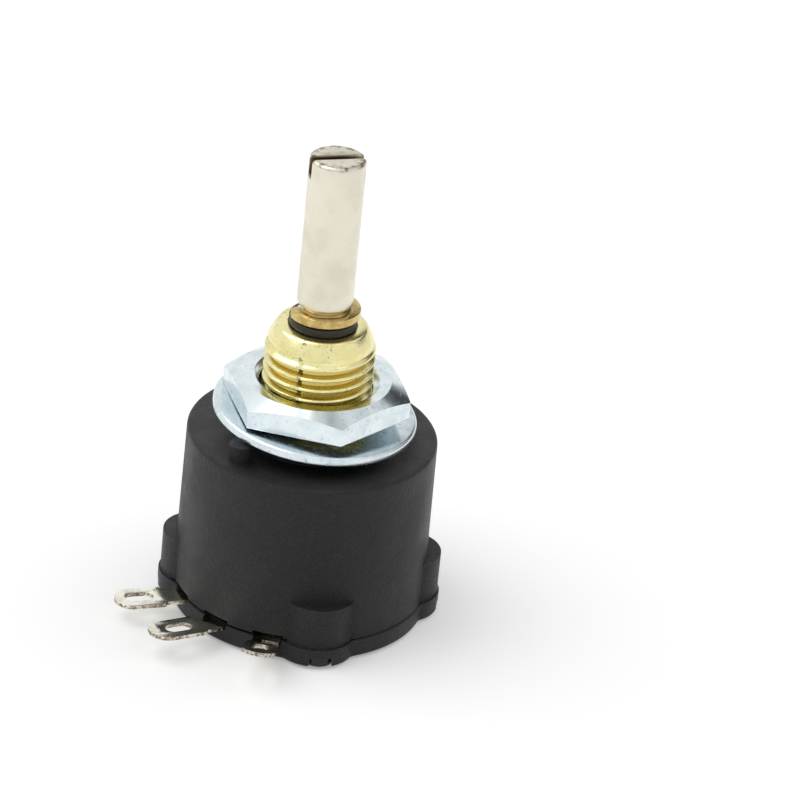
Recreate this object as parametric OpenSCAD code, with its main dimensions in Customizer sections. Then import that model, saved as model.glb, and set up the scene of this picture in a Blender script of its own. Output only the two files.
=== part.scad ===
// Panel-mounted wirewound rheostat of the geared, multi-turn kind, in millimetres.
// Origin: shaft axis at the face that seats on the panel. +Z runs out along the shaft, -Y to the solder lugs.

/* [Shaft] */
// Diameter of the control shaft
shaft_d = 6; // [5:0.25:6.5]
// Height of the shaft tip above the panel face
shaft_top = 31.3; // [24:0.1:50]
// Chamfer round the shaft tip
tip_chamfer = 0.4; // [0.1:0.1:1]
// Width of the screwdriver slot
slot_w = 1.1; // [0.6:0.1:1.6]
// Depth of the screwdriver slot
slot_depth = 1.8; // [0.8:0.1:3]
// Direction of the screwdriver slot
slot_azimuth = 50; // [0:1:180]
// Diameter of the shaft's inner journal
journal_d = 3; // [2.4:0.1:3.4]
// Diameter of the groove for the retaining clip
groove_d = 5; // [3.8:0.1:5.4]

/* [Bush] */
// Outside diameter of the threaded bush
thread_d = 11.9; // [11:0.1:12]
// Pitch of the thread, whose turns stand as plain rings
thread_pitch = 1.25; // [1:0.05:1.5]
// Depth of the thread
thread_depth = 0.6; // [0.3:0.05:0.7]
// Height of the bush above the panel face
bush_h = 11.75; // [9:0.05:16]
// Length of the taper at the mouth of the bush
taper_h = 2.1; // [0.5:0.1:3]
// Diameter of the bush across its mouth
mouth_d = 9.6; // [8.6:0.1:10.5]
// Diameter of the countersink in the mouth
countersink_d = 7.5; // [7:0.1:8.4]
// Diameter of the collar moulded into the housing
collar_d = 13; // [12.4:0.1:14]
// Diameter of the flange inside the housing
flange_d = 16; // [14.5:0.1:17]
// Thickness of the flange inside the housing
flange_t = 1; // [0.6:0.1:1.2]

/* [Nut and washer] */
// Width of the nut across its flats
nut_af = 17.9; // [16:0.1:19]
// Thickness of the nut
nut_t = 3; // [2:0.1:4]
// Height of the nut's lower face above the panel face
nut_z = 2.4; // [2.35:0.05:5]
// Diameter of the flat washer
washer_d = 22; // [18:0.5:23]
// Thickness of the flat washer
washer_t = 1; // [0.6:0.1:1.05]
// Tilt of the loose washer on its bush
washer_tilt = 4.2; // [0:0.1:4.2]
// Direction of the washer's high side
washer_azimuth = -152; // [-180:1:180]
// Height of the washer's centre above the panel face
washer_z = 0.66; // [0.64:0.01:0.7]
// Diameter of the washer's hole
washer_hole_d = 12.6; // [12.4:0.1:14]

/* [Clip] */
// Thickness of the retaining clip
clip_t = 0.9; // [0.4:0.1:1]
// Outside diameter of the retaining clip
clip_d = 7.8; // [7:0.1:9]
// Opening of the retaining clip in degrees
clip_gap = 85; // [50:5:120]
// Direction of the clip's opening
clip_azimuth = 200; // [0:5:360]
// Thickness of the front thrust washer
front_washer_t = 0.95; // [0.4:0.05:1]
// Outside diameter of the front thrust washer
front_washer_d = 7.3; // [6.9:0.1:7.4]
// Thickness of the rear thrust washer
rear_washer_t = 0.5; // [0.3:0.05:0.6]
// Outside diameter of the rear thrust washer
rear_washer_d = 8.4; // [7:0.1:9]

/* [Housing] */
// Diameter of the housing at its front
body_d = 26.9; // [26:0.1:30]
// Draft of the housing wall, added to its diameter at the rear
body_draft = 0.36; // [0:0.02:0.6]
// Thickness of the housing's wall at its front
case_wall = 1.45; // [1.3:0.05:1.6]
// Depth of the housing from its front face to the rear seam
body_h = 18.36; // [18.3:0.01:21]
// Height of the boss that seats on the panel
boss_h = 1.2; // [0.8:0.1:2]
// Diameter of the boss that seats on the panel
boss_d = 16; // [15:0.1:16]
// Thickness of the housing's front wall
front_wall = 2; // [1.2:0.1:2.2]
// Rounding of the housing's front edge
edge_r = 0.4; // [0.1:0.1:1]
// Depth of the ledge that the ring gear seats on, below the front wall
ledge_h = 1.6; // [1.4:0.1:2]
// Diameter of the locating peg
peg_d = 2.5; // [1.5:0.1:3]
// Height of the locating peg above the front face
peg_h = 2.1; // [1:0.1:2.1]
// Distance of the locating peg from the axis
peg_r = 10.9; // [9.6:0.1:11.5]
// Direction of the locating peg
peg_azimuth = -99.5; // [-180:0.5:180]

/* [Lobes and screws] */
// Directions of the four lobes with their screws
lobe_azimuths = [-148, -45, 35, 131.5];
// How far the lobes stand out from the housing
lobe_out = 1.65; // [1.45:0.05:2.5]
// Width of a lobe
lobe_w = 6.8; // [5.5:0.1:8]
// Height of the housing's lobes above the seam
lobe_h = 4.75; // [4.6:0.05:8]
// Rounding of the lobes' corners
lobe_round = 1.6; // [0.5:0.1:1.8]
// Rounding of the lobes' upper ends
lobe_crown = 1.5; // [0.5:0.1:1.9]
// Distance of the screws from the lobes' outer faces
screw_inset = 1.5; // [1.35:0.05:1.7]
// Diameter of the screw heads
head_d = 3.3; // [2.6:0.1:3.4]
// Height of the screw heads
head_h = 1.3; // [1:0.1:1.6]
// Diameter of the screw shanks
shank_d = 1.7; // [1.2:0.1:1.9]
// Length of the screws in the housing
screw_grip = 4; // [2.5:0.1:4.2]
// Width of the cross recess in the screw heads
recess_w = 0.45; // [0.3:0.05:0.6]
// Depth of the cross recess in the screw heads
recess_depth = 0.7; // [0.4:0.05:0.9]

/* [Rear cover] */
// Thickness of the rear cover
cover_t = 2.1; // [1.8:0.1:3]
// How far the cover stands proud of the housing
cover_proud = 0.1; // [0:0.02:0.2]
// Depth of the pockets for the screw heads
pocket_depth = 1.05; // [0.8:0.05:1.2]
// Height of the rim that carries the resistance card
rim_h = 1.06; // [0.6:0.02:1.4]
// Diameter of the rear bearing boss
rear_boss_d = 7; // [5.5:0.1:8]
// Depth of the blind bearing for the journal
bearing_depth = 1.9; // [1.2:0.1:2.2]

/* [Solder lugs] */
// Direction of the middle lug
lug_azimuth = -95.5; // [-97:0.5:-83]
// Angle between neighbouring lugs
lug_step = 27; // [25:0.5:28]
// Thickness of the lugs
lug_t = 0.45; // [0.3:0.05:0.5]
// Width of a lug's neck
neck_w = 2.9; // [2:0.1:3.1]
// Width of a lug's head
lug_w = 3.7; // [3.2:0.1:4]
// How far the lug tips reach past the housing
lug_reach = 7.65; // [6.5:0.05:12]
// How far the lugs' shoulders are past the housing
neck_reach = 2.25; // [1.8:0.05:3]
// Length of the eye in a lug
eye_l = 3.15; // [2.4:0.05:3.6]
// Width of the eye in a lug
eye_w = 1.6; // [1:0.1:2]
// Upward bend of each lug, left to right
lug_bend = [1, 6, 19];
// Sideways bend of each lug, left to right
lug_skew = [-4, -15, 4];
// Extra length of each lug past its eye, left to right
lug_extra = [0, 0.8, 0];

/* [Reduction gear] */
// Thickness of the ring gear outside its teeth
ring_wall = 0.6375; // [0.55:0.0125:0.8]
// Teeth of the sun pinion
sun_teeth = 12; // [12:6:12]
// Teeth of each planet gear
planet_teeth = 18; // [18:6:18]
// Number of planet gears
planets = 3; // [3:1:3]
// Pressure angle of the gears
pressure_angle = 25; // [24:0.5:27]
// Half of the backlash at each flank, along the pitch circle
flank_gap = 0.025; // [0.015:0.005:0.04]
// Width of the gear faces
gear_w = 3.1; // [2:0.1:3.2]
// Diameter of the planets' studs
stud_d = 2; // [1.4:0.1:2.4]
// Thickness of the planet carrier's disc
carrier_t = 1.5; // [1:0.1:1.8]
// Room between the planet carrier's rim and the housing's bore
carrier_room = 1.6; // [1.5:0.1:2.5]
// Diameter of the planet carrier's hub
hub_d = 6; // [4.6:0.1:6.6]
// Turn of the wiper to each side of its middle
wiper_travel = 140; // [120:1:140]

/* [Resistance element] */
// Height of the wound card
card_h = 8; // [6:0.1:8.4]
// Thickness of the bare card
card_t = 0.6; // [0.4:0.05:0.7]
// Thickness of the wire on each face of the card
wire_t = 0.2; // [0.1:0.02:0.22]
// Angle between the ribs of the winding
wire_pitch = 2; // [2:0.5:6]
// How far the bare card reaches past the winding at each end, in degrees
card_end = 11; // [9:1:12]
// Thickness of the collector ring
collector_t = 0.4; // [0.2:0.05:0.6]
// Thickness of the wiper's spring strip
spring_t = 0.3; // [0.15:0.05:0.4]
// Width of the wiper's spring strip
spring_w = 3; // [2:0.1:3.6]

/* [Clearances] */
// Radial gap of a turning shaft or gear in its bearing
run_gap = 0.03; // [0.01:0.01:0.06]
// Radial gap between fitted pieces that stay still
seat_gap = 0.02; // [0.01:0.01:0.05]
// Axial gap between pieces that turn past each other
end_gap = 0.05; // [0.02:0.01:0.15]

/* [Hidden] */
$fn = 96;

sliver = 0.01;
rest_azimuth = lug_azimuth + 180;

// Radii that follow the housing
bore_d = body_d - 2 * case_wall;
lobe_r = body_d / 2 + lobe_out;
screw_r = lobe_r - screw_inset;
lug_r = body_d / 2 + lug_reach;
shoulder_r = body_d / 2 + neck_reach;
carrier_d = bore_d - 2 * carrier_room;

// Levels down the axis, from the housing's front face to the underside of the rear cover
front_z = -boss_h;
ceiling_z = front_z - front_wall;
flange_z = ceiling_z - flange_t;
seam_z = front_z - body_h;
cover_z = seam_z - cover_t;
ledge_z = ceiling_z - ledge_h;
gear_top = flange_z - 2 * end_gap - rear_washer_t - 0.2;
gear_bottom = gear_top - gear_w;
pad_h = 0.4;
carrier_top = gear_bottom - end_gap - pad_h;
carrier_z = carrier_top - carrier_t;
card_top = seam_z + rim_h + card_h;
card_bottom = seam_z + rim_h;
rear_boss_z = seam_z + 0.95;
journal_z = rear_boss_z - bearing_depth + 0.2;
clip_z = bush_h + front_washer_t + 0.3;

// Gear train: a fixed ring, three planets on the carrier and the pinion on the shaft
ring_teeth = sun_teeth + 2 * planet_teeth;
gear_module = (bore_d / 2 - ring_wall) / (ring_teeth / 2 + 1.25);
sun_r = gear_module * sun_teeth / 2;
planet_r = gear_module * planet_teeth / 2;
ring_r = gear_module * ring_teeth / 2;
centre_r = sun_r + planet_r;
gear_phase = rest_azimuth + 60;
PLANETS = [for (i = [0 : planets - 1]) gear_phase + i * 360 / planets];

// Resistance element, which lies against the housing's bore
wound_r = bore_d / 2 - 0.1;
card_r = wound_r - wire_t;
track_r = card_r - card_t - wire_t;
wound_travel = wiper_travel + 6;
tab_t = 0.32;
tab_w = 2;
tab_h = 0.75 * card_h;
tab_r = sqrt(pow(card_r - card_t - 2 * seat_gap, 2) - pow(tab_w / 2, 2)) - tab_t;

// Radii inwards from the track: the wiper's leg, the stops and the collector ring
leg_r = track_r - 1.5;
stop_r2 = leg_r - spring_t - 0.3;
stop_r1 = stop_r2 - 1.2;
collector_od = 2 * (stop_r1 - 0.2);
collector_id = rear_boss_d + 1.4;
collector_rivet_r = collector_od / 2 - 0.8;
lug_tail_r = collector_rivet_r - 0.8;
lug_relief = 0.25;

// Wiper: two rivets, the brush between them and the leg that reaches out to the track
contact_z = card_bottom + card_h / 2;
contact_d = 1.6;
rivet_d = 1.1;
rivet_head_d = 1.5;
plate_r = hub_d / 2 + 0.1;
brush_r = (collector_id + collector_od) / 4 - 0.5;
brush_d = 1;
RIVETS = [plate_r + 1.2, brush_r + 1.9];

// Stops: a rib under the carrier and a post on the cover, a quarter turn from the wiper
stop_azimuth = rest_azimuth + 90;
stop_rib = 16;
stop_post = 180 - wiper_travel - stop_rib - 0.5;
stop_overlap = 2;
stop_z = carrier_z - 4;

// ---- Shared shapes ----

// Everything turned to a direction round the axis
module at(azimuth) {
    rotate([0, 0, azimuth]) children();
}

module ring(d_out, d_in, z, h) {
    translate([0, 0, z]) difference() {
        cylinder(d = d_out, h = h);
        translate([0, 0, -1]) cylinder(d = d_in, h = h + 2);
    }
}

// Flat sector of a ring, centred on +X
module sector(r_in, r_out, half_angle) {
    steps = max(2, ceil(half_angle / 3));
    outer = [for (i = [-steps : steps]) let (a = i * half_angle / steps) r_out * [cos(a), sin(a)]];
    inner = [for (i = [steps : -1 : -steps]) let (a = i * half_angle / steps) r_in * [cos(a), sin(a)]];
    polygon(concat(outer, inner));
}

// Outline of one lobe with rounded corners
module lobe_2d(r, w, c) {
    corner_x = sqrt(pow(r - c, 2) - pow(w / 2 - c, 2));
    intersection() {
        circle(r = r);
        union() {
            translate([0, -w / 2]) square([corner_x, w]);
            translate([0, c - w / 2]) square([r, w - 2 * c]);
            for (side = [-1, 1]) translate([corner_x, side * (w / 2 - c)]) circle(r = c, $fn = 48);
        }
    }
}

// ---- Involute gears ----

function involute(r, base_r) = let (a = acos(min(1, base_r / r))) tan(a) * 180 / PI - a;

// Half of a tooth's angle at radius r, grown by a gap along the pitch circle
function half_tooth(r, teeth, gap) =
    let (pitch_r = gear_module * teeth / 2, base_r = pitch_r * cos(pressure_angle))
    90 / teeth + gap / pitch_r * 180 / PI + involute(pitch_r, base_r) - involute(max(r, base_r), base_r);

// Outline of one tooth about +X, from its root up one flank and down the other
function tooth(teeth, root_r, tip_r, gap, turn, steps = 5) =
    let (start_r = max(root_r, gear_module * teeth / 2 * cos(pressure_angle)))
    let (radii = [for (i = [0 : steps]) start_r + (tip_r - start_r) * i / steps])
    let (rise = concat([[root_r, half_tooth(start_r, teeth, gap)]],
        [for (r = radii) if (r > root_r + sliver) [r, half_tooth(r, teeth, gap)]]))
    concat([for (p = rise) p[0] * [cos(turn - p[1]), sin(turn - p[1])]],
        [for (i = [len(rise) - 1 : -1 : 0]) rise[i][0] * [cos(turn + rise[i][1]), sin(turn + rise[i][1])]]);

module gear_2d(teeth, root_r, tip_r, gap) {
    polygon([for (i = [0 : teeth - 1]) each tooth(teeth, root_r, tip_r, gap, i * 360 / teeth)]);
}

module spur_gear(teeth, bore, z, h) {
    pitch_r = gear_module * teeth / 2;
    translate([0, 0, z]) linear_extrude(h) difference() {
        gear_2d(teeth, pitch_r - 1.25 * gear_module, pitch_r + gear_module, -flank_gap);
        circle(d = bore);
    }
}

module planet(i) {
    color("peru") at(PLANETS[i]) translate([centre_r, 0, 0]) at(180 / planet_teeth)
        spur_gear(planet_teeth, stud_d + 2 * run_gap, gear_bottom, gear_w);
}

// ---- Moulded case ----

module case_outline() {
    rear_r = (body_d + body_draft) / 2;
    arc = [for (a = [90 : -15 : 0])
        [body_d / 2 - edge_r + edge_r * cos(a), front_z - edge_r + edge_r * sin(a)]];
    rotate_extrude() polygon(concat([[0, seam_z], [0, front_z]], arc, [[rear_r, seam_z]]));
}

module case_lobes() {
    top_z = seam_z + lobe_h;
    arc = [for (a = [90 : -15 : 0])
        [lobe_r - lobe_crown + lobe_crown * cos(a), top_z - lobe_crown + lobe_crown * sin(a)]];
    intersection() {
        translate([0, 0, seam_z]) linear_extrude(lobe_h)
            for (a = lobe_azimuths) at(a) lobe_2d(lobe_r, lobe_w, lobe_round);
        rotate_extrude() polygon(concat([[0, seam_z], [0, top_z]], arc, [[lobe_r, seam_z]]));
    }
}

module locating_peg() {
    at(peg_azimuth) translate([peg_r, 0, front_z - 0.5]) {
        cylinder(d = peg_d, h = peg_h + 0.5 - 0.3);
        translate([0, 0, peg_h + 0.2]) cylinder(d1 = peg_d, d2 = peg_d - 0.6, h = 0.3);
    }
}

module housing() {
    color("#2b2b2d") difference() {
        union() {
            case_outline();
            case_lobes();
            translate([0, 0, front_z - 0.5]) cylinder(d = boss_d, h = boss_h + 0.5);
            locating_peg();
        }
        translate([0, 0, seam_z - 1]) cylinder(d = bore_d, h = ledge_z - seam_z + 1);
        translate([0, 0, ledge_z - 1]) cylinder(d = bore_d - 1.6, h = ceiling_z - ledge_z + 1);
        translate([0, 0, ceiling_z - 1]) cylinder(d = collar_d + 2 * seat_gap, h = front_wall + boss_h + 2);
        for (a = lobe_azimuths) at(a) translate([screw_r, 0, seam_z - 1])
            cylinder(d = shank_d + 2 * seat_gap, h = screw_grip + 1.2);
        // Relief over each lug where it leaves the seam
        for (i = [-1 : 1]) at(lug_azimuth + i * lug_step)
            translate([bore_d / 2 - 1, -neck_w / 2 - 0.25, seam_z - 1])
                cube([case_wall + lobe_out + 1.5, neck_w + 0.5, 1 + lug_relief]);
    }
}

module cover_lug_slots() {
    depth = lug_t + seat_gap;
    for (i = [-1 : 1]) at(lug_azimuth + i * lug_step)
        translate([(i == 0 ? lug_tail_r : tab_r) - 0.1, -neck_w / 2 - 0.1, seam_z - depth])
            cube([lobe_r, neck_w + 0.2, i == 0 ? depth : depth + rim_h + 1]);
}

module rear_cover() {
    rim_d = bore_d - 0.1;
    outline_r = (body_d + body_draft) / 2 + cover_proud;
    chamfer = 0.3;
    color("#262628") difference() {
        union() {
            intersection() {
                translate([0, 0, cover_z]) linear_extrude(cover_t) {
                    circle(r = outline_r);
                    for (a = lobe_azimuths) at(a)
                        lobe_2d(lobe_r + 2 * cover_proud, lobe_w + 2 * cover_proud, lobe_round);
                }
                cover_edge(lobe_r + 2 * cover_proud, chamfer);
            }
            ring(rim_d, 2 * track_r, seam_z - 0.5, rim_h + 0.5);
            translate([0, 0, seam_z - 0.5]) cylinder(d = rear_boss_d, h = rear_boss_z - seam_z + 0.5);
            stop_post_solid();
        }
        cover_lug_slots();
        translate([0, 0, rear_boss_z - bearing_depth])
            cylinder(d = journal_d + 2 * run_gap, h = bearing_depth + 1);
        for (a = lobe_azimuths) at(a) translate([screw_r, 0, 0]) {
            translate([0, 0, cover_z - 1]) cylinder(d = head_d + 0.6, h = pocket_depth + 1);
            translate([0, 0, cover_z - 1]) cylinder(d = shank_d + 2 * seat_gap, h = cover_t + 2);
        }
    }
}

module cover_edge(r, chamfer) {
    rotate_extrude() polygon([[0, cover_z], [r - chamfer, cover_z], [r, cover_z + chamfer],
        [r, seam_z], [0, seam_z]]);
}

module stop_post_solid() {
    at(stop_azimuth + 180) translate([0, 0, seam_z - 0.2])
        linear_extrude(stop_z + stop_overlap - seam_z + 0.2) sector(stop_r1, stop_r2, stop_post);
}

// Pan-head screws with a cross recess, driven up into the lobes
module cover_screws() {
    head_z = cover_z + pocket_depth - head_h;
    dome = 0.27 * head_h;
    color("#1f1f20") for (a = lobe_azimuths) at(a) translate([screw_r, 0, 0]) difference() {
        union() {
            translate([0, 0, head_z]) cylinder(d1 = head_d - 2 * dome, d2 = head_d, h = dome);
            translate([0, 0, head_z + dome]) cylinder(d = head_d, h = head_h - dome);
            translate([0, 0, head_z + head_h - sliver])
                cylinder(d = shank_d, h = seam_z + screw_grip - head_z - head_h);
        }
        for (turn = [0, 90]) at(a + turn) translate([-head_d * 0.3, -recess_w / 2, head_z - 1])
            cube([head_d * 0.6, recess_w, 1 + recess_depth]);
    }
}

// ---- Bush, nut and washers ----

module threaded_bush() {
    bore = shaft_d + 2 * run_gap;
    edge = 0.2;
    sink = (countersink_d - bore) / 2;
    crest = thread_d / 2;
    turns = floor((bush_h - taper_h) / thread_pitch - 0.3);
    groove = [[0.15, 0], [0.4, thread_depth], [0.6, thread_depth], [0.85, 0]];
    grooves = [for (i = [0 : turns - 1]) each
        [for (p = groove) [crest - p[1], (i + 0.3 + p[0]) * thread_pitch]]];
    color("#c9a94e") rotate_extrude() polygon([
        [bore / 2, flange_z], [flange_d / 2, flange_z], [flange_d / 2, ceiling_z],
        [collar_d / 2, ceiling_z], [collar_d / 2, 0], [crest, 0], each grooves,
        [crest, bush_h - taper_h], [mouth_d / 2 + edge / 2, bush_h - edge],
        [mouth_d / 2 - edge / 2, bush_h], [countersink_d / 2, bush_h], [bore / 2, bush_h - sink]]);
}

module mounting_nut() {
    corner_r = nut_af / 2 / cos(30);
    flat_r = nut_af / 2 - 0.25;
    top_drop = (corner_r - flat_r) * tan(30);
    low_r = nut_af / 2 + 0.4;
    low_rise = (corner_r - low_r) * tan(30);
    hole_d = thread_d + 2 * seat_gap;
    mouth = 0.7;
    color("#c3ccd2") translate([0, 0, nut_z]) difference() {
        intersection() {
            at(20.7) cylinder(r = corner_r, h = nut_t, $fn = 6);
            rotate_extrude() polygon([[0, 0], [low_r, 0], [corner_r, low_rise],
                [corner_r, nut_t - top_drop], [flat_r, nut_t], [0, nut_t]]);
        }
        translate([0, 0, -1]) cylinder(d = hole_d, h = nut_t + 2);
        translate([0, 0, nut_t - mouth]) cylinder(d1 = hole_d, d2 = hole_d + 2 * mouth + 0.02, h = mouth + 0.01);
        translate([0, 0, -0.01]) cylinder(d1 = hole_d + 2 * mouth + 0.02, d2 = hole_d, h = mouth + 0.01);
    }
}

module flat_washer() {
    color("#b9c4cc") translate([0, 0, washer_z]) at(washer_azimuth) rotate([0, -washer_tilt, 0])
        ring(washer_d, washer_hole_d, 0, washer_t);
}

module front_thrust_washer() {
    color("#2a241d") ring(front_washer_d, shaft_d + 2 * run_gap, bush_h + seat_gap, front_washer_t);
}

module retaining_clip() {
    color("#a8853a") at(clip_azimuth) translate([0, 0, clip_z]) linear_extrude(clip_t) difference() {
        circle(d = clip_d);
        circle(d = groove_d + 2 * seat_gap);
        polygon(clip_d * [[0, 0], [cos(clip_gap / 2), sin(clip_gap / 2)], [1.5, 0],
            [cos(clip_gap / 2), -sin(clip_gap / 2)]]);
    }
}

module rear_thrust_washer() {
    color("#8a8f93") ring(rear_washer_d, journal_d + 2 * seat_gap, flange_z - end_gap - rear_washer_t, rear_washer_t);
}

// ---- Shaft and reduction gear ----

module control_shaft() {
    groove_z = clip_z - end_gap;
    groove_h = clip_t + 2 * end_gap;
    shoulder_z = flange_z - end_gap + sliver;
    body_r = shaft_d / 2;
    color("#cfcdc6") difference() {
        rotate_extrude() polygon([
            [0, journal_z], [journal_d / 2 - 0.2, journal_z], [journal_d / 2, journal_z + 0.2],
            [journal_d / 2, shoulder_z], [body_r, shoulder_z], [body_r, groove_z],
            [groove_d / 2, groove_z], [groove_d / 2, groove_z + groove_h], [body_r, groove_z + groove_h],
            [body_r, shaft_top - tip_chamfer], [body_r - tip_chamfer, shaft_top], [0, shaft_top]]);
        translate([0, 0, shaft_top - slot_depth]) at(slot_azimuth)
            translate([-shaft_d, -slot_w / 2, 0]) cube([2 * shaft_d, slot_w, slot_depth + 1]);
    }
}

module sun_pinion() {
    top_z = flange_z - end_gap - rear_washer_t - seat_gap;
    color("#b08d3c") at(gear_phase)
        spur_gear(sun_teeth, journal_d + 2 * seat_gap, gear_bottom, top_z - gear_bottom);
}

module ring_gear() {
    outer = bore_d - 2 * seat_gap;
    tooth_bottom = gear_bottom - 0.1;
    color("#d8d2c0") at(gear_phase) difference() {
        translate([0, 0, card_top + seat_gap]) cylinder(d = outer, h = ledge_z - card_top - 2 * seat_gap);
        translate([0, 0, tooth_bottom - sliver]) linear_extrude(ledge_z - tooth_bottom + 1)
            at(180 / ring_teeth) gear_2d(ring_teeth, ring_r - gear_module,
                ring_r + 1.25 * gear_module, flank_gap);
        translate([0, 0, card_top - 1]) cylinder(d = bore_d - 2, h = tooth_bottom - card_top + 1);
    }
}

// Pins pressed into the carrier, headed over the planets
module planet_studs() {
    head_h = 0.25;
    head_z = gear_top + end_gap;
    color("#a9adb0") for (a = PLANETS) at(a) translate([centre_r, 0, 0]) {
        translate([0, 0, carrier_z]) cylinder(d = stud_d, h = head_z - carrier_z + sliver);
        translate([0, 0, head_z]) cylinder(d = stud_d + 1, h = head_h);
    }
}

module planet_carrier() {
    hub_z = rear_boss_z + 0.2;
    color("#5a3b28") difference() {
        union() {
            translate([0, 0, carrier_z]) cylinder(d = carrier_d, h = carrier_t);
            translate([0, 0, hub_z]) cylinder(d = hub_d, h = carrier_z - hub_z + sliver);
            for (a = PLANETS) at(a) translate([centre_r, 0, carrier_top - sliver])
                cylinder(d = stud_d + 1.6, h = pad_h + sliver);
            at(stop_azimuth) translate([0, 0, stop_z])
                linear_extrude(carrier_z - stop_z + sliver) sector(stop_r1, stop_r2, stop_rib);
        }
        translate([0, 0, hub_z - 1]) cylinder(d = journal_d + 2 * run_gap, h = carrier_top - hub_z + 2);
        for (a = PLANETS) at(a) translate([centre_r, 0, carrier_z - 1])
            cylinder(d = stud_d + 2 * seat_gap, h = carrier_t + pad_h + 2);
        at(rest_azimuth) for (r = RIVETS) translate([r, 0, carrier_z - 1])
            cylinder(d = rivet_d + 2 * seat_gap, h = carrier_t + 2);
    }
}

// ---- Wiper ----

module wiper_spring() {
    brush_z = seam_z + collector_t + 1;
    color("#b87333") at(rest_azimuth) difference() {
        union() {
            translate([plate_r, -spring_w / 2, carrier_z - seat_gap - spring_t])
                cube([leg_r - plate_r, spring_w, spring_t]);
            translate([leg_r - spring_t, -spring_w / 2, contact_z - 1.4])
                cube([spring_t, spring_w, carrier_z - seat_gap - contact_z + 1.4]);
            translate([brush_r - spring_t / 2, -spring_w / 2, brush_z])
                cube([spring_t, spring_w, carrier_z - seat_gap - spring_t / 2 - brush_z]);
            translate([brush_r - 0.8, -spring_w / 2, brush_z - spring_t]) cube([1.6, spring_w, spring_t + sliver]);
        }
        for (r = RIVETS) translate([r, 0, carrier_z - 2]) cylinder(d = rivet_d + 2 * seat_gap, h = 3);
    }
}

module wiper_contact() {
    color("#c0c0c4") at(rest_azimuth) translate([leg_r + sliver, 0, contact_z]) rotate([0, 90, 0]) {
        cylinder(d = contact_d, h = track_r - leg_r - end_gap - contact_d / 4);
        translate([0, 0, track_r - leg_r - end_gap - contact_d / 4])
            cylinder(d1 = contact_d, d2 = contact_d / 3, h = contact_d / 4 - sliver);
    }
}

module collector_contact() {
    top_z = seam_z + collector_t + 1 - spring_t - sliver;
    color("#c0c0c4") at(rest_azimuth) translate([brush_r, 0, seam_z + collector_t + end_gap])
        cylinder(d = brush_d, h = top_z - seam_z - collector_t - end_gap);
}

module wiper_rivets() {
    low = carrier_z - seat_gap - spring_t;
    color("#b5893c") at(rest_azimuth) for (r = RIVETS) translate([r, 0, 0]) {
        translate([0, 0, low - sliver]) cylinder(d = rivet_d, h = carrier_top - low);
        translate([0, 0, low - 0.3 - sliver]) cylinder(d = rivet_head_d, h = 0.3);
    }
}

// ---- Resistance element and its connections ----

module element_card() {
    color("#8a5a2b") at(rest_azimuth) translate([0, 0, card_bottom + wire_t + seat_gap])
        linear_extrude(card_h - 2 * wire_t - 2 * seat_gap)
            sector(card_r - card_t, card_r, wound_travel + card_end);
}

// Ribbed band of wire, one rib to every few turns
module winding_2d(rib_h) {
    half_ribs = 2 * floor(wound_travel / wire_pitch);
    outer = [for (i = [-half_ribs : half_ribs]) let (a = i * wire_pitch / 2)
        (wound_r - (i % 2 == 0 ? 0 : rib_h)) * [cos(a), sin(a)]];
    inner = [for (i = [half_ribs : -1 : -half_ribs]) let (a = i * wire_pitch / 2)
        (track_r + (i % 2 == 0 ? 0 : rib_h)) * [cos(a), sin(a)]];
    polygon(concat(outer, inner));
}

module resistance_winding() {
    color("#9c7b4f") at(rest_azimuth) difference() {
        translate([0, 0, card_bottom + seat_gap]) linear_extrude(card_h - 2 * seat_gap) winding_2d(0.06);
        translate([0, 0, card_bottom + wire_t]) linear_extrude(card_h - 2 * wire_t)
            sector(card_r - card_t - seat_gap / 2, card_r + seat_gap / 2, wound_travel + card_end);
    }
}

// Plate of solder lug i from inner_r out to its rounded tip with an eye
module lug_plate(inner_r, i) {
    bend_r = (body_d + body_draft) / 2 + 0.3;
    head_l = lug_r - bend_r;
    tip_r = lug_w / 2;
    eye_x = head_l - tip_r - 0.1;
    tip_x = eye_x + 0.1 + lug_extra[i];
    translate([inner_r, -neck_w / 2, seam_z - lug_t]) cube([bend_r - inner_r + 0.05, neck_w, lug_t]);
    translate([bend_r, 0, seam_z - lug_t / 2]) rotate([0, -lug_bend[i], lug_skew[i]])
        translate([0, 0, -lug_t / 2]) linear_extrude(lug_t) difference() {
            union() {
                translate([-0.1, -neck_w / 2]) square([shoulder_r - bend_r + 0.2, neck_w]);
                translate([shoulder_r - bend_r, -lug_w / 2]) square([tip_x - shoulder_r + bend_r, lug_w]);
                translate([tip_x, 0]) circle(r = tip_r);
            }
            translate([eye_x, 0]) circle(d = eye_w);
            translate([eye_x - eye_l + eye_w, 0]) circle(d = eye_w);
            translate([eye_x - eye_l + eye_w, -eye_w / 2]) square([eye_l - eye_w, eye_w]);
        }
}

// End lug, whose inner end turns up to hold one end of the card
module end_lug(side) {
    color("#c9c8c2") at(lug_azimuth + side * lug_step) {
        lug_plate(tab_r, side + 1);
        translate([tab_r, -tab_w / 2, seam_z - lug_t]) cube([tab_t, tab_w, tab_h + lug_t]);
    }
}

module left_lug() { end_lug(-1); }

module right_lug() { end_lug(1); }

module middle_lug() {
    color("#c9c8c2") at(lug_azimuth) difference() {
        lug_plate(lug_tail_r, 1);
        translate([collector_rivet_r, 0, seam_z - 1]) cylinder(d = rivet_d + 2 * seat_gap, h = 2);
    }
}

module collector_ring() {
    color("#c8a656") difference() {
        ring(collector_od, collector_id, seam_z, collector_t);
        at(lug_azimuth) translate([collector_rivet_r, 0, seam_z - 1])
            cylinder(d = rivet_d + 2 * seat_gap, h = 2);
    }
}

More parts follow.
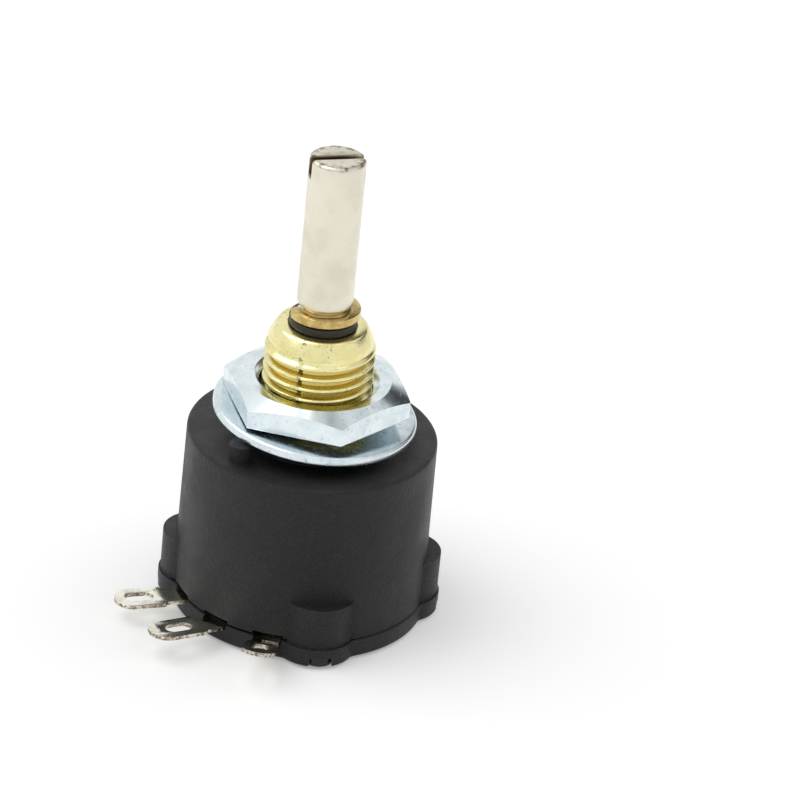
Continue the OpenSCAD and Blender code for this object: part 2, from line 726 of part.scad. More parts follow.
module collector_rivet() {
    color("#b5893c") at(lug_azimuth) translate([collector_rivet_r, 0, seam_z - lug_t]) {
        cylinder(d = rivet_d, h = lug_t + collector_t + sliver);
        translate([0, 0, lug_t + collector_t]) cylinder(d = rivet_head_d, h = 0.25);
    }
}

housing();
rear_cover();
cover_screws();
threaded_bush();
mounting_nut();
flat_washer();
control_shaft();
retaining_clip();
front_thrust_washer();
rear_thrust_washer();
sun_pinion();
ring_gear();
planet(0);  // planet_gear_1
planet(1);  // planet_gear_2
planet(2);  // planet_gear_3
planet_studs();
planet_carrier();
wiper_spring();
wiper_contact();
collector_contact();
wiper_rivets();
element_card();
resistance_winding();
left_lug();
middle_lug();
right_lug();
collector_ring();
collector_rivet();
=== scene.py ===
"""Looks of a geared, multi-turn wirewound rheostat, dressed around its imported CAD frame.

Lengths are in millimetres and angles in degrees. Mesh coordinates, lamps, and the depths and edge radii
that finishes hand to their shaders are in metres.
"""

import logging
import math
from collections.abc import Callable, Iterable
from dataclasses import dataclass, field
from enum import Enum

import bmesh
import bpy
from mathutils import Matrix, Vector


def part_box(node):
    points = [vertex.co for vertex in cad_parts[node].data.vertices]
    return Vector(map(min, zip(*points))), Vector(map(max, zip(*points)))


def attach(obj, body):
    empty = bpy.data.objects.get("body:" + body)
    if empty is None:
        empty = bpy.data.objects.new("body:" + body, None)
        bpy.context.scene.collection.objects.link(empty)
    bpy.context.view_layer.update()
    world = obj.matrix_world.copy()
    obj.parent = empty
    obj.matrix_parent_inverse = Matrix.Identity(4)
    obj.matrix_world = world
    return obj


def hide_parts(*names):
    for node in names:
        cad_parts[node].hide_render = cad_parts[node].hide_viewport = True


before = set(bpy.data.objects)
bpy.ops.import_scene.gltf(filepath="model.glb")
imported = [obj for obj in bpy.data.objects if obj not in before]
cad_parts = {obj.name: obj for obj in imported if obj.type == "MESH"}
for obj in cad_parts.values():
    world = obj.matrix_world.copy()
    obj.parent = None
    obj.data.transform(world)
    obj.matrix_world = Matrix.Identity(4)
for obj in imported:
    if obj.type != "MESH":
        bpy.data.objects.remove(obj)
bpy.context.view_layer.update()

BMesh = bmesh.types.BMesh
Edge = bmesh.types.BMEdge
Node = bpy.types.Node
Wire = bpy.types.NodeSocket
Colour = tuple[float, float, float, float]
Span = tuple[float, float]

LOG = logging.getLogger("rheostat")
MM = 0.001
UP = Vector((0.0, 0.0, 1.0))
HAIR = 1e-6
LOBE_AZIMUTHS = (-148.0, -45.0, 35.0, 131.5)
LUG_AZIMUTHS = (-122.5, -95.5, -68.5)
SLOT_AZIMUTH = 50.0
PARTING = -77.0
FRONT_Z = -1.2
WALL_Z = -3.2
SEAM_Z = -19.56
COVER_Z = -21.66


def metres(values: Iterable[float]) -> tuple[float, ...]:
    """Turns millimetres into metres."""
    return tuple(value * MM for value in values)


# ---- Node trees ----


class NodeSheet:
    """A node tree that is being filled, for a material, a world or a shared effect."""

    def __init__(self, tree: bpy.types.NodeTree) -> None:
        """Keeps the tree to fill."""
        self.tree = tree

    @classmethod
    def emptied(cls, owner: bpy.types.ID) -> "NodeSheet":
        """Clears the nodes of a material or world.

        Args:
            owner: The material or world.

        Returns:
            A sheet for its empty tree.
        """
        owner.use_nodes = True
        owner.node_tree.nodes.clear()
        return cls(owner.node_tree)

    def feed(self, node: Node, key: str | int, value: object) -> None:
        """Sets or links one input of a node.

        Args:
            node: The node.
            key: Name or index of its input.
            value: A value, or a socket to link.
        """
        if isinstance(value, Wire):
            self.tree.links.new(value, node.inputs[key])
        else:
            node.inputs[key].default_value = value

    def add(self, kind: str, inputs: dict | None = None, **settings: object) -> Node:
        """Adds one node, then sets or links its inputs.

        Args:
            kind: Blender's name of the node type.
            inputs: Values, or sockets to link, by input name or index.
            settings: Attributes of the node itself.

        Returns:
            The new node.
        """
        node = self.tree.nodes.new(kind)
        for name, value in settings.items():
            setattr(node, name, value)
        for key, value in (inputs or {}).items():
            self.feed(node, key, value)
        return node

    def math(self, operation: str, *values: object, clamp: bool = False) -> Wire:
        """Adds a Math node."""
        settings = {"operation": operation, "use_clamp": clamp}
        return self.add("ShaderNodeMath", dict(enumerate(values)), **settings).outputs[0]

    def times(self, first: object, second: object) -> Wire:
        """Multiplies two numbers or sockets."""
        return self.math("MULTIPLY", first, second)

    def parts(self, vector: Wire) -> list[Wire]:
        """Splits a vector into its three parts."""
        return list(self.add("ShaderNodeSeparateXYZ", {0: vector}).outputs)

    def reach(self, x: Wire, y: Wire) -> Wire:
        """Gives the distance from the axis."""
        return self.math("SQRT", self.math("ADD", self.math("POWER", x, 2.0), self.math("POWER", y, 2.0)))

    def remap(self, value: Wire, low: float, high: float, to_low: float = 0.0, to_high: float = 1.0) -> Wire:
        """Maps one range of a value to another with a smooth step."""
        ends = {"Value": value, "From Min": low, "From Max": high, "To Min": to_low, "To Max": to_high}
        return self.add("ShaderNodeMapRange", ends, interpolation_type="SMOOTHSTEP").outputs["Result"]

    def noise(self, vector: Wire, scale: object, detail: float = 2.0, rough: float = 0.5) -> Wire:
        """Adds a noise texture."""
        inputs = {"Vector": vector, "Scale": scale, "Detail": detail, "Roughness": rough}
        return self.add("ShaderNodeTexNoise", inputs).outputs["Fac"]

    def blend(self, factor: object, first: object, second: object) -> Wire:
        """Mixes two colours."""
        return self.add("ShaderNodeMix", {0: factor, 6: first, 7: second}, data_type="RGBA").outputs[2]

    def coat(self, shader: Node, colour: Wire, rough: Wire, height: Wire, depth: float) -> None:
        """Feeds a Principled shader.

        Args:
            shader: The shader.
            colour: Its colour.
            rough: Its roughness.
            height: Height of its fine relief.
            depth: Depth of that relief, in metres.
        """
        bump = self.add("ShaderNodeBump", {"Height": height, "Distance": depth, "Strength": 1.0})
        for key, wire in (("Base Color", colour), ("Roughness", rough), ("Normal", bump.outputs[0])):
            self.feed(shader, key, wire)


@dataclass(frozen=True)
class Patches:
    """Noise cut to a mask of soft patches."""

    scale: float
    low: float
    high: float
    faint: float = 0.0
    full: float = 1.0
    detail: float = 3.0
    rough: float = 0.7

    def mask(self, sheet: NodeSheet, where: Wire) -> Wire:
        """Adds the mask to a sheet, on the given coordinates."""
        noise = sheet.noise(where, self.scale, self.detail, self.rough)
        return sheet.remap(noise, self.low, self.high, self.faint, self.full)


class SocketKind(Enum):
    """Kinds of socket on an effect's panel."""

    VALUE = "NodeSocketFloat"
    VECTOR = "NodeSocketVector"


@dataclass(frozen=True)
class Effect:
    """A shader node group that several materials share."""

    name: str
    inputs: tuple[tuple[str, SocketKind, float], ...]
    outputs: tuple[str, ...]

    def fill(self, sheet: NodeSheet, entry: Node) -> dict[str, Wire]:
        """Fills the group; each effect has its own way."""
        raise NotImplementedError

    def group(self) -> bpy.types.NodeTree:
        """Builds the group once and returns it on every later call."""
        known = bpy.data.node_groups.get(self.name)
        if known:
            return known
        tree = bpy.data.node_groups.new(self.name, "ShaderNodeTree")
        for name, kind, default in self.inputs:
            socket = tree.interface.new_socket(name=name, in_out="INPUT", socket_type=kind.value)
            if kind is SocketKind.VALUE:
                socket.default_value = default
        for name in self.outputs:
            tree.interface.new_socket(name=name, in_out="OUTPUT", socket_type=SocketKind.VALUE.value)
        sheet = NodeSheet(tree)
        sheet.add("NodeGroupOutput", self.fill(sheet, sheet.add("NodeGroupInput")))
        return tree

    def place(self, sheet: NodeSheet, **values: object) -> Node:
        """Places the group in a material, with the given input values or sockets."""
        return sheet.add("ShaderNodeGroup", values, node_tree=self.group())


class Grain(Effect):
    """Spark-eroded mould grain: fine pits over slower waves."""

    def fill(self, sheet: NodeSheet, entry: Node) -> dict[str, Wire]:
        """See the base class."""
        where, scale = entry.outputs["Coordinates"], entry.outputs["Scale"]
        fine = sheet.noise(where, scale, 3.0, 0.6)
        slow = sheet.noise(where, sheet.times(scale, 0.31))
        height = sheet.math("MULTIPLY_ADD", slow, 0.45, fine)
        return {"Height": height, "Specks": sheet.remap(fine, 0.5, 0.68)}


class Mottle(Effect):
    """Cloudy variation and fine spots of a plated or cast surface."""

    def fill(self, sheet: NodeSheet, entry: Node) -> dict[str, Wire]:
        """See the base class."""
        where, scale = entry.outputs["Coordinates"], entry.outputs["Scale"]
        clouds = sheet.noise(where, scale, 4.0, 0.55)
        spots = sheet.noise(where, sheet.times(scale, 4.7), 3.0, 0.6)
        return {"Clouds": sheet.remap(clouds, 0.35, 0.68), "Spots": sheet.remap(spots, 0.56, 0.72)}


class EdgeWearAndHighlight(Effect):
    """Mask that is 1 on sharp edges, where handling polishes or bares metal; on the moulding it carries a
    painted highlight.
    """

    def fill(self, sheet: NodeSheet, entry: Node) -> dict[str, Wire]:
        """See the base class."""
        rounded = sheet.add("ShaderNodeBevel", {"Radius": entry.outputs["Radius"]}, samples=4)
        flat = sheet.add("ShaderNodeNewGeometry")
        likeness = sheet.add("ShaderNodeVectorMath", {0: rounded.outputs[0], 1: flat.outputs["Normal"]},
                             operation="DOT_PRODUCT")
        return {"Mask": sheet.remap(likeness.outputs["Value"], 0.995, 0.86)}


class ToolMarks(Effect):
    """Fine marks of a turned part, rings round its axis."""

    def fill(self, sheet: NodeSheet, entry: Node) -> dict[str, Wire]:
        """See the base class."""
        x, y, z = sheet.parts(entry.outputs["Coordinates"])
        along = sheet.add("ShaderNodeCombineXYZ", {"X": sheet.reach(x, y), "Z": z})
        return {"Height": sheet.noise(along.outputs[0], entry.outputs["Scale"], 3.0, 0.7)}


WHERE = ("Coordinates", SocketKind.VECTOR, 0.0)
GRAIN = Grain("mould_grain", (WHERE, ("Scale", SocketKind.VALUE, 5000.0)), ("Height", "Specks"))
MOTTLE = Mottle("surface_mottle", (WHERE, ("Scale", SocketKind.VALUE, 300.0)), ("Clouds", "Spots"))
EDGES = EdgeWearAndHighlight("edge_wear_and_highlight", (("Radius", SocketKind.VALUE, 0.0001),), ("Mask",))
TURNING = ToolMarks("turning_marks", (WHERE, ("Scale", SocketKind.VALUE, 9000.0)), ("Height",))


# ---- Finishes ----


def tone(red: int, green: int, blue: int) -> Colour:
    """Turns a colour of 0 to 255 levels into the linear colour that shaders take.

    Args:
        red: Red level.
        green: Green level.
        blue: Blue level.

    Returns:
        The linear colour with full opacity.
    """
    levels = [v / 255.0 for v in (red, green, blue)]
    linear = [v / 12.92 if v <= 0.04045 else ((v + 0.055) / 1.055) ** 2.4 for v in levels]
    return (linear[0], linear[1], linear[2], 1.0)


@dataclass(frozen=True)
class Finish:
    """Base of all finishes: a name, a slot name and a colour."""

    name: str
    slot: str
    colour: Colour

    def material(self) -> bpy.types.Material:
        """Builds the material once and returns it on every later call."""
        label = self.name + "_surface"
        known = bpy.data.materials.get(label)
        if known:
            return known
        made = bpy.data.materials.new(label)
        sheet = NodeSheet.emptied(made)
        shader = sheet.add("ShaderNodeBsdfPrincipled")
        self.dress(sheet, shader, sheet.add("ShaderNodeTexCoord"))
        sheet.add("ShaderNodeOutputMaterial", {"Surface": shader.outputs[0]})
        return made

    def dress(self, sheet: NodeSheet, shader: Node, place: Node) -> None:
        """Feeds the shader; each kind of finish has its own way."""
        raise NotImplementedError


@dataclass(frozen=True)
class Moulding(Finish):
    """Moulded plastic with a spark-eroded grain that flat faces show less, and a painted highlight on its
    grain specks and sharp edges, stronger on side faces than on flat ones.
    """

    sheen: Colour
    grain_scale: float = 6000.0
    grain_depth: float = 0.0003
    # Share of the painted highlight that lightens the grain specks.
    glint_share: float = 0.14
    flat_facing: Span = (0.6, 0.95)
    flat_share: float = 0.6
    cloud_scale: float = 260.0
    cloud_share: float = 0.03
    edge_radius: float = 0.00012
    # Share of the painted highlight on sharp edges.
    edge_share: float = 0.3
    roughness: Span = (0.37, 0.48)
    specular: float = 0.36

    def dress(self, sheet: NodeSheet, shader: Node, place: Node) -> None:
        """See the base class."""
        where = place.outputs["Object"]
        upright = sheet.math("ABSOLUTE", sheet.parts(place.outputs["Normal"])[2])
        flat = sheet.remap(upright, *self.flat_facing, 1.0, self.flat_share)
        grain = GRAIN.place(sheet, Coordinates=where, Scale=self.grain_scale)
        clouds = MOTTLE.place(sheet, Coordinates=where, Scale=self.cloud_scale).outputs["Clouds"]
        edge = EDGES.place(sheet, Radius=self.edge_radius).outputs["Mask"]
        # Painted highlight: grain specks, more on side faces than on flat ones, and sharp edges are lightened
        # towards the sheen colour.
        glint = sheet.times(grain.outputs["Specks"], sheet.times(flat, self.glint_share))
        lit = sheet.math("ADD", glint, sheet.times(edge, self.edge_share), clamp=True)
        base = sheet.blend(sheet.times(clouds, self.cloud_share), self.colour, self.sheen)
        rough = sheet.remap(clouds, 0.0, 1.0, *self.roughness)
        height = sheet.times(grain.outputs["Height"], flat)
        sheet.coat(shader, sheet.blend(lit, base, self.sheen), rough, height, self.grain_depth)
        shader.inputs["Specular IOR Level"].default_value = self.specular


@dataclass(frozen=True)
class Plating(Finish):
    """Bare or plated metal with clouds, spots, tool marks and worn edges."""

    shade: Colour
    edge_tone: Colour = (0.9, 0.9, 0.9, 1.0)
    clouds: float = 0.35
    spots: float = 0.3
    cloud_scale: float = 300.0
    roughness: float = 0.3
    rough_spread: float = 0.08
    tool_scale: float = 9000.0
    tool_depth: float = 0.000002
    edge_share: float = 0.4
    edge_radius: float = 0.00008

    def tint(self, sheet: NodeSheet, place: Node, colour: Wire) -> Wire:
        """Lets a finish colour itself further; plain plating doesn't."""
        return colour

    def dress(self, sheet: NodeSheet, shader: Node, place: Node) -> None:
        """See the base class."""
        where = place.outputs["Object"]
        mottle = MOTTLE.place(sheet, Coordinates=where, Scale=self.cloud_scale)
        spots = mottle.outputs["Spots"]
        edge = EDGES.place(sheet, Radius=self.edge_radius).outputs["Mask"]
        marks = TURNING.place(sheet, Coordinates=where, Scale=self.tool_scale).outputs["Height"]
        soil = sheet.math("ADD", sheet.times(mottle.outputs["Clouds"], self.clouds),
                          sheet.times(spots, self.spots), clamp=True)
        colour = self.tint(sheet, place, sheet.blend(soil, self.colour, self.shade))
        colour = sheet.blend(sheet.times(edge, self.edge_share), colour, self.edge_tone)
        rough = sheet.remap(soil, 0.0, 1.0, self.roughness - self.rough_spread,
                            self.roughness + self.rough_spread * 2)
        height = sheet.math("MULTIPLY_ADD", spots, -0.5, marks)
        sheet.coat(shader, colour, rough, height, self.tool_depth)
        shader.inputs["Metallic"].default_value = 1.0


@dataclass(frozen=True, kw_only=True)
class ThreadBrass(Plating):
    """Brass of the bush: painted shade in the thread's roots and on its downward flanks, nicked along the
    die's parting line, and painted dark inside the mouth.
    """

    # Colour of the painted shade in the thread's roots and on its downward flanks.
    groove: Colour
    scuff: Colour
    nick: Colour
    thread_r: Span = (5.2, 5.85)
    thread_end: Span = (9.6, 8.6)
    facing_down: Span = (0.05, -0.35)
    root_shade_share: float = 0.8
    scuffs: Patches = Patches(3000.0, 0.56, 0.65, detail=4.0, rough=0.75)
    zones: Patches = Patches(330.0, 0.42, 0.58, 0.1, detail=1.0, rough=0.5)
    scuff_share: float = 0.75
    line_half: Span = (1.6, 3.4)
    nicks: Patches = Patches(1500.0, 0.5, 0.58, full=0.6, detail=2.0, rough=0.5)
    mouth_r: Span = (4.35, 4.2)
    mouth_z: Span = (11.7, 11.2)

    def tint(self, sheet: NodeSheet, place: Node, colour: Wire) -> Wire:
        """See the base class."""
        where = place.outputs["Object"]
        x, y, z = sheet.parts(where)
        reach = sheet.reach(x, y)
        # Painted shade: below the taper, the thread's roots and its downward-facing flanks take the darker
        # groove colour.
        deep = sheet.remap(reach, *metres(self.thread_r), 1.0, 0.0)
        below = sheet.remap(z, *metres(self.thread_end))
        under = sheet.remap(sheet.parts(place.outputs["Normal"])[2], *self.facing_down)
        thread_shade = sheet.math("MAXIMUM", sheet.times(deep, self.root_shade_share), under)
        colour = sheet.blend(sheet.times(thread_shade, below), colour, self.groove)
        scuffs = sheet.times(self.scuffs.mask(sheet, where), self.zones.mask(sheet, where))
        colour = sheet.blend(sheet.times(scuffs, self.scuff_share), colour, self.scuff)
        past = sheet.math("SUBTRACT", sheet.math("ARCTAN2", y, x), math.radians(PARTING))
        line = sheet.remap(sheet.math("ABSOLUTE", past), *map(math.radians, self.line_half), 1.0, 0.0)
        torn = sheet.math("MAXIMUM", self.nicks.mask(sheet, where), sheet.times(deep, below))
        colour = sheet.blend(sheet.times(line, torn), colour, self.nick)
        # The inside of the mouth is painted as dark as the nicks.
        inner = sheet.times(sheet.remap(reach, *metres(self.mouth_r)), sheet.remap(z, *metres(self.mouth_z)))
        return sheet.blend(inner, colour, self.nick)


@dataclass(frozen=True, kw_only=True)
class SlottedNickel(Plating):
    """Nickel of the shaft: painted shade in the screwdriver slot, and soil round the rim of the tip."""

    # Colour of the painted shade in the slot, and of the soil stains and pits.
    soil: Colour
    tip: float = 31.3
    slot_half: Span = (0.58, 0.5394)
    slot_lip: Span = (0.12, 0.4)
    slot_floor: Span = (2.5, 1.9)
    rim_r: Span = (2.1, 2.5)
    rim_depth: Span = (0.5, 0.1)
    cap_depth: Span = (0.1, 0.03)
    cap_share: float = 0.3
    stains: Patches = Patches(1400.0, 0.46, 0.62, 0.1, 0.75, rough=0.6)
    pits: Patches = Patches(5200.0, 0.67, 0.74, full=0.4)

    def tint(self, sheet: NodeSheet, place: Node, colour: Wire) -> Wire:
        """See the base class."""
        def depth(span: Span, full: float = 1.0) -> Wire:
            """Gives a mask that rises between two depths below the tip."""
            return sheet.remap(z, *metres((self.tip - span[0], self.tip - span[1])), 0.0, full)

        where = place.outputs["Object"]
        x, y, z = sheet.parts(where)
        turn = math.radians(SLOT_AZIMUTH)
        across = sheet.math("SUBTRACT", sheet.times(x, math.sin(turn)), sheet.times(y, math.cos(turn)))
        # Painted shade: the slot's walls darken to the soil colour from just below the lip down to the floor.
        inside = sheet.remap(sheet.math("ABSOLUTE", across), *metres(self.slot_half))
        inside = sheet.times(sheet.times(inside, depth(self.slot_lip)), depth(self.slot_floor))
        colour = sheet.blend(inside, colour, self.soil)
        ring = sheet.times(sheet.remap(sheet.reach(x, y), *metres(self.rim_r)), depth(self.rim_depth))
        stain = self.stains.mask(sheet, where)
        for mask in (ring, depth(self.cap_depth, self.cap_share)):
            colour = sheet.blend(sheet.times(mask, stain), colour, self.soil)
        return sheet.blend(self.pits.mask(sheet, where), colour, self.soil)


@dataclass(frozen=True, kw_only=True)
class ShearedTin(Plating):
    """Tin over stamped brass: bright faces, brown and torn on the sheared edges."""

    bare: Colour
    side_facing: Span = (0.75, 0.5)
    tears: Patches = Patches(2400.0, 0.42, 0.58, 0.15, 0.9)

    def tint(self, sheet: NodeSheet, place: Node, colour: Wire) -> Wire:
        """See the base class."""
        upright = sheet.math("ABSOLUTE", sheet.parts(place.outputs["Normal"])[2])
        torn = self.tears.mask(sheet, place.outputs["Object"])
        return sheet.blend(sheet.times(sheet.remap(upright, *self.side_facing), torn), colour, self.bare)


@dataclass(frozen=True)
class Laminate(Finish):
    """Fibre, card or nylon without a mould grain: matt, slightly cloudy."""

    shade: Colour
    roughness: float = 0.6
    rough_spread: float = 0.15
    cloud_scale: float = 500.0
    cloud_share: float = 0.5
    fibre_scale: float = 2500.0
    fibre_share: float = 0.3
    fibre_depth: float = 0.00001

    def dress(self, sheet: NodeSheet, shader: Node, place: Node) -> None:
        """See the base class."""
        where = place.outputs["Object"]
        mottle = MOTTLE.place(sheet, Coordinates=where, Scale=self.cloud_scale)
        grain = GRAIN.place(sheet, Coordinates=where, Scale=self.fibre_scale)
        soil = sheet.math("ADD", sheet.times(mottle.outputs["Clouds"], self.cloud_share),
                          sheet.times(grain.outputs["Specks"], self.fibre_share), clamp=True)
        rough = sheet.remap(mottle.outputs["Spots"], 0.0, 1.0, self.roughness,
                            self.roughness + self.rough_spread)
        colour = sheet.blend(soil, self.colour, self.shade)
        sheet.coat(shader, colour, rough, grain.outputs["Height"], self.fibre_depth)


CASE = Moulding("case_black", "moulded_case", tone(16, 16, 18), tone(112, 114, 120))
SCREW_BLACK = Plating("screw_black", "black_steel", tone(58, 58, 60), tone(26, 26, 27), tone(150, 150, 152),
                      roughness=0.42, tool_depth=0.000003)
BUSH_BRASS = ThreadBrass("bush_brass", "bush_brass", tone(240, 233, 176), tone(214, 199, 124),
                         tone(252, 248, 218), roughness=0.28, cloud_scale=420.0, tool_depth=0.000006,
                         groove=tone(190, 164, 72), scuff=tone(96, 84, 34), nick=tone(48, 34, 12))
ZINC = Plating("zinc_plate", "zinc_plate", tone(228, 238, 240), tone(178, 196, 206), tone(252, 254, 255),
               roughness=0.23, cloud_scale=420.0, clouds=0.4, spots=0.5)
# A darker copy of the zinc plate for the washer: painted shade, with a rougher surface.
SHADED_WASHER_ZINC = Plating("shaded_washer_zinc", "zinc_plate", tone(224, 234, 238), tone(168, 188, 198),
                      tone(252, 254, 255), roughness=0.3, cloud_scale=420.0, clouds=0.4, spots=0.5)
NICKEL = SlottedNickel("shaft_nickel", "shaft_nickel", tone(229, 224, 207), tone(212, 205, 188),
                       tone(240, 237, 228), roughness=0.36, clouds=0.5, spots=0.15, tool_scale=14000.0,
                       soil=tone(92, 70, 44))
CLIP_BRASS = Plating("clip_brass", "clip_brass", tone(214, 190, 124), tone(120, 92, 44), tone(244, 226, 168),
                     roughness=0.26, cloud_scale=900.0, clouds=0.45, spots=0.5)
FIBRE = Laminate("dark_fibre", "dark_fibre", tone(30, 24, 16), tone(14, 11, 8), 0.4)
TIN = ShearedTin("tinned_lug", "tinned_lug", tone(240, 238, 224), tone(168, 165, 150), tone(246, 234, 206),
                 roughness=0.2, cloud_scale=620.0, clouds=0.4, spots=0.45, tool_scale=5000.0,
                 tool_depth=0.000012, edge_share=0.6, bare=tone(112, 84, 54))
PINION_BRASS = Plating("gear_brass", "gear_brass", tone(206, 176, 96), tone(150, 120, 56), roughness=0.28)
NYLON = Laminate("gear_nylon", "gear_nylon", tone(228, 222, 204), tone(206, 198, 174), 0.42)
RESIN = Laminate("carrier_resin", "carrier_resin", tone(122, 82, 54), tone(84, 54, 34), 0.4)
STEEL = Plating("pin_steel", "pin_steel", tone(196, 198, 202), tone(140, 142, 146), roughness=0.25)
BRONZE = Plating("spring_bronze", "spring_bronze", tone(204, 150, 96), tone(150, 98, 56), roughness=0.3)
SILVER = Plating("contact_silver", "contact_silver", tone(226, 226, 228), tone(170, 168, 160), roughness=0.2)
CARD = Laminate("card_resin", "card_resin", tone(150, 106, 62), tone(104, 68, 36))
WIRE = Plating("resistance_wire", "resistance_wire", tone(176, 158, 126), tone(120, 102, 74), roughness=0.35)
RING_BRASS = Plating("ring_brass", "ring_brass", tone(214, 188, 112), tone(160, 132, 64), roughness=0.3)

INNER_FINISHES: dict[str, Finish] = {
    "rear_thrust_washer": STEEL, "sun_pinion": PINION_BRASS, "ring_gear": NYLON, "planet_gear_1": NYLON,
    "planet_gear_2": NYLON, "planet_gear_3": NYLON, "planet_studs": STEEL, "planet_carrier": RESIN,
    "wiper_spring": BRONZE, "wiper_contact": SILVER, "collector_contact": SILVER,
    "wiper_rivets": RING_BRASS, "element_card": CARD, "resistance_winding": WIRE,
    "collector_ring": RING_BRASS, "collector_rivet": RING_BRASS,
}


# ---- Mesh tools ----


class Join(Enum):
    """Ways to combine two solids."""

    ADD = "UNION"
    CUT = "DIFFERENCE"
    SHARE = "INTERSECT"


def turned(azimuth: float, reach: float = 0.0) -> Matrix:
    """Gives the move out along the X axis and the turn to a direction round the Z axis."""
    return Matrix.Rotation(math.radians(azimuth), 4, "Z") @ Matrix.Translation((reach * MM, 0, 0))


def placed(bm: BMesh, matrix: Matrix) -> BMesh:
    """Moves a mesh by a matrix."""
    bmesh.ops.transform(bm, matrix=matrix, verts=bm.verts)
    return bm


def polar(radius: float, turn: float, z: float) -> Vector:
    """Gives a point round the axis, in metres, from a turn in radians."""
    return Vector((radius * math.cos(turn), radius * math.sin(turn), z)) * MM


def arc(centre: Span, radius: float, start: float, end: float, steps: int) -> list[Span]:
    """Gives the points of an arc."""
    angles = [math.radians(start + (end - start) * i / steps) for i in range(steps + 1)]
    return [(centre[0] + radius * math.cos(a), centre[1] + radius * math.sin(a)) for a in angles]


def sector(inner: float, outer: float, first: float, last: float, steps: int) -> list[Span]:
    """Gives the outline of a ring's sector."""
    return arc((0.0, 0.0), outer, first, last, steps) + arc((0.0, 0.0), inner, last, first, steps)


def tidied(bm: BMesh) -> BMesh:
    """Merges doubles and turns all faces outwards.

    Args:
        bm: The mesh.

    Returns:
        The same mesh.
    """
    bmesh.ops.remove_doubles(bm, verts=bm.verts, dist=0.5e-6)
    bmesh.ops.dissolve_degenerate(bm, edges=bm.edges, dist=0.2e-6)
    bmesh.ops.recalc_face_normals(bm, faces=bm.faces)
    return bm


def spun(profile: Iterable[Span], steps: int = 128) -> BMesh:
    """Spins a closed profile right round the axis.

    Args:
        profile: Points as radius and height, in order.
        steps: Number of steps round.

    Returns:
        The solid.
    """
    bm = bmesh.new()
    points = [bm.verts.new((r * MM, 0.0, z * MM)) for r, z in profile]
    edges = [bm.edges.new((points[i - 1], points[i])) for i in range(len(points))]
    bmesh.ops.spin(bm, geom=points + edges, cent=(0, 0, 0), axis=UP, angle=math.tau, steps=steps,
                   use_merge=True, use_duplicate=False)
    return tidied(bm)


def rod(radius: float, low: float, high: float, steps: int) -> BMesh:
    """Makes a round rod on the axis."""
    return spun([(0.0, low), (radius, low), (radius, high), (0.0, high)], steps)


def lifted(bm: BMesh, height: float) -> None:
    """Extrudes the flat faces of a mesh upwards.

    Args:
        bm: The mesh, which has only those faces.
        height: Height of the solid that it becomes.
    """
    grown = bmesh.ops.extrude_face_region(bm, geom=list(bm.faces))
    bmesh.ops.translate(bm, vec=(0, 0, height * MM),
                        verts=[v for v in grown["geom"] if isinstance(v, bmesh.types.BMVert)])
    tidied(bm)


def slab(outline: Iterable[Span], low: float, high: float) -> BMesh:
    """Extrudes a flat outline upwards.

    Args:
        outline: Its points, in order.
        low: Height of its underside.
        high: Height of its top.

    Returns:
        The solid.
    """
    bm = bmesh.new()
    bm.faces.new([bm.verts.new((x * MM, y * MM, low * MM)) for x, y in outline])
    lifted(bm, high - low)
    return bm


def bar(start: float, end: float, half: float, low: float, high: float) -> BMesh:
    """Makes a bar along the X axis."""
    return slab([(start, -half), (end, -half), (end, half), (start, half)], low, high)


def mesh_of(bm: BMesh, name: str) -> bpy.types.Mesh:
    """Turns a bmesh into a mesh.

    Args:
        bm: The bmesh; it is used up.
        name: Name of the mesh.

    Returns:
        The mesh.
    """
    mesh = bpy.data.meshes.new(name)
    bm.to_mesh(mesh)
    bm.free()
    return mesh


def linked(name: str, data: bpy.types.ID) -> bpy.types.Object:
    """Makes an object and puts it in the scene.

    Args:
        name: Its name.
        data: Its mesh, camera or light.

    Returns:
        The object.
    """
    unit = bpy.data.objects.new(name, data)
    bpy.context.scene.collection.objects.link(unit)
    return unit


def combined(body: BMesh, tool: BMesh, join: Join) -> BMesh:
    """Joins or cuts one solid with another, exactly.

    Args:
        body: The solid to change; it is used up.
        tool: The other solid; it is used up.
        join: The way to combine them.

    Returns:
        The resulting solid.
    """
    objects = [linked(name, mesh_of(part, name)) for name, part in (("body", body), ("tool", tool))]
    cut = objects[0].modifiers.new("cut", "BOOLEAN")
    cut.operation, cut.object, cut.solver = join.value, objects[1], "EXACT"
    bpy.context.view_layer.update()
    result = bmesh.new()
    result.from_object(objects[0], bpy.context.evaluated_depsgraph_get())
    for piece in objects:
        mesh = piece.data
        bpy.data.objects.remove(piece)
        bpy.data.meshes.remove(mesh)
    return tidied(result)


def merged(parts: Iterable[BMesh]) -> BMesh:
    """Puts several separate solids in one mesh.

    Args:
        parts: The solids; they are used up.

    Returns:
        One mesh with all of them.
    """
    whole = bmesh.new()
    for part in parts:
        mesh = mesh_of(part, "part")
        whole.from_mesh(mesh)
        bpy.data.meshes.remove(mesh)
    return whole


def eased(bm: BMesh, width: float, angle: float = 25.0, segments: int = 2,
          where: Callable[[Edge], bool] | None = None) -> BMesh:
    """Rounds the sharp edges of a solid.

    Args:
        bm: The solid.
        width: Width of the rounding.
        angle: Edges that turn more than this are rounded.
        segments: Steps across the rounding.
        where: Further test that an edge has to pass.

    Returns:
        The same mesh.
    """
    sharp = [e for e in bm.edges if len(e.link_faces) == 2 and e.calc_face_angle(0.0) > math.radians(angle)
             and (where is None or where(e))]
    bmesh.ops.bevel(bm, geom=sharp, offset=width * MM, offset_type="OFFSET", affect="EDGES",
                    segments=segments, profile=0.5, material=-1, clamp_overlap=True)
    return tidied(bm)


def lowest(edge: Edge) -> float:
    """Gives the lower end's height, in metres."""
    return min(v.co.z for v in edge.verts)


def reaches(edge: Edge) -> list[float]:
    """Gives how far both ends are from the axis, in metres."""
    return [math.hypot(v.co.x, v.co.y) for v in edge.verts]


# ---- Sub-assemblies ----


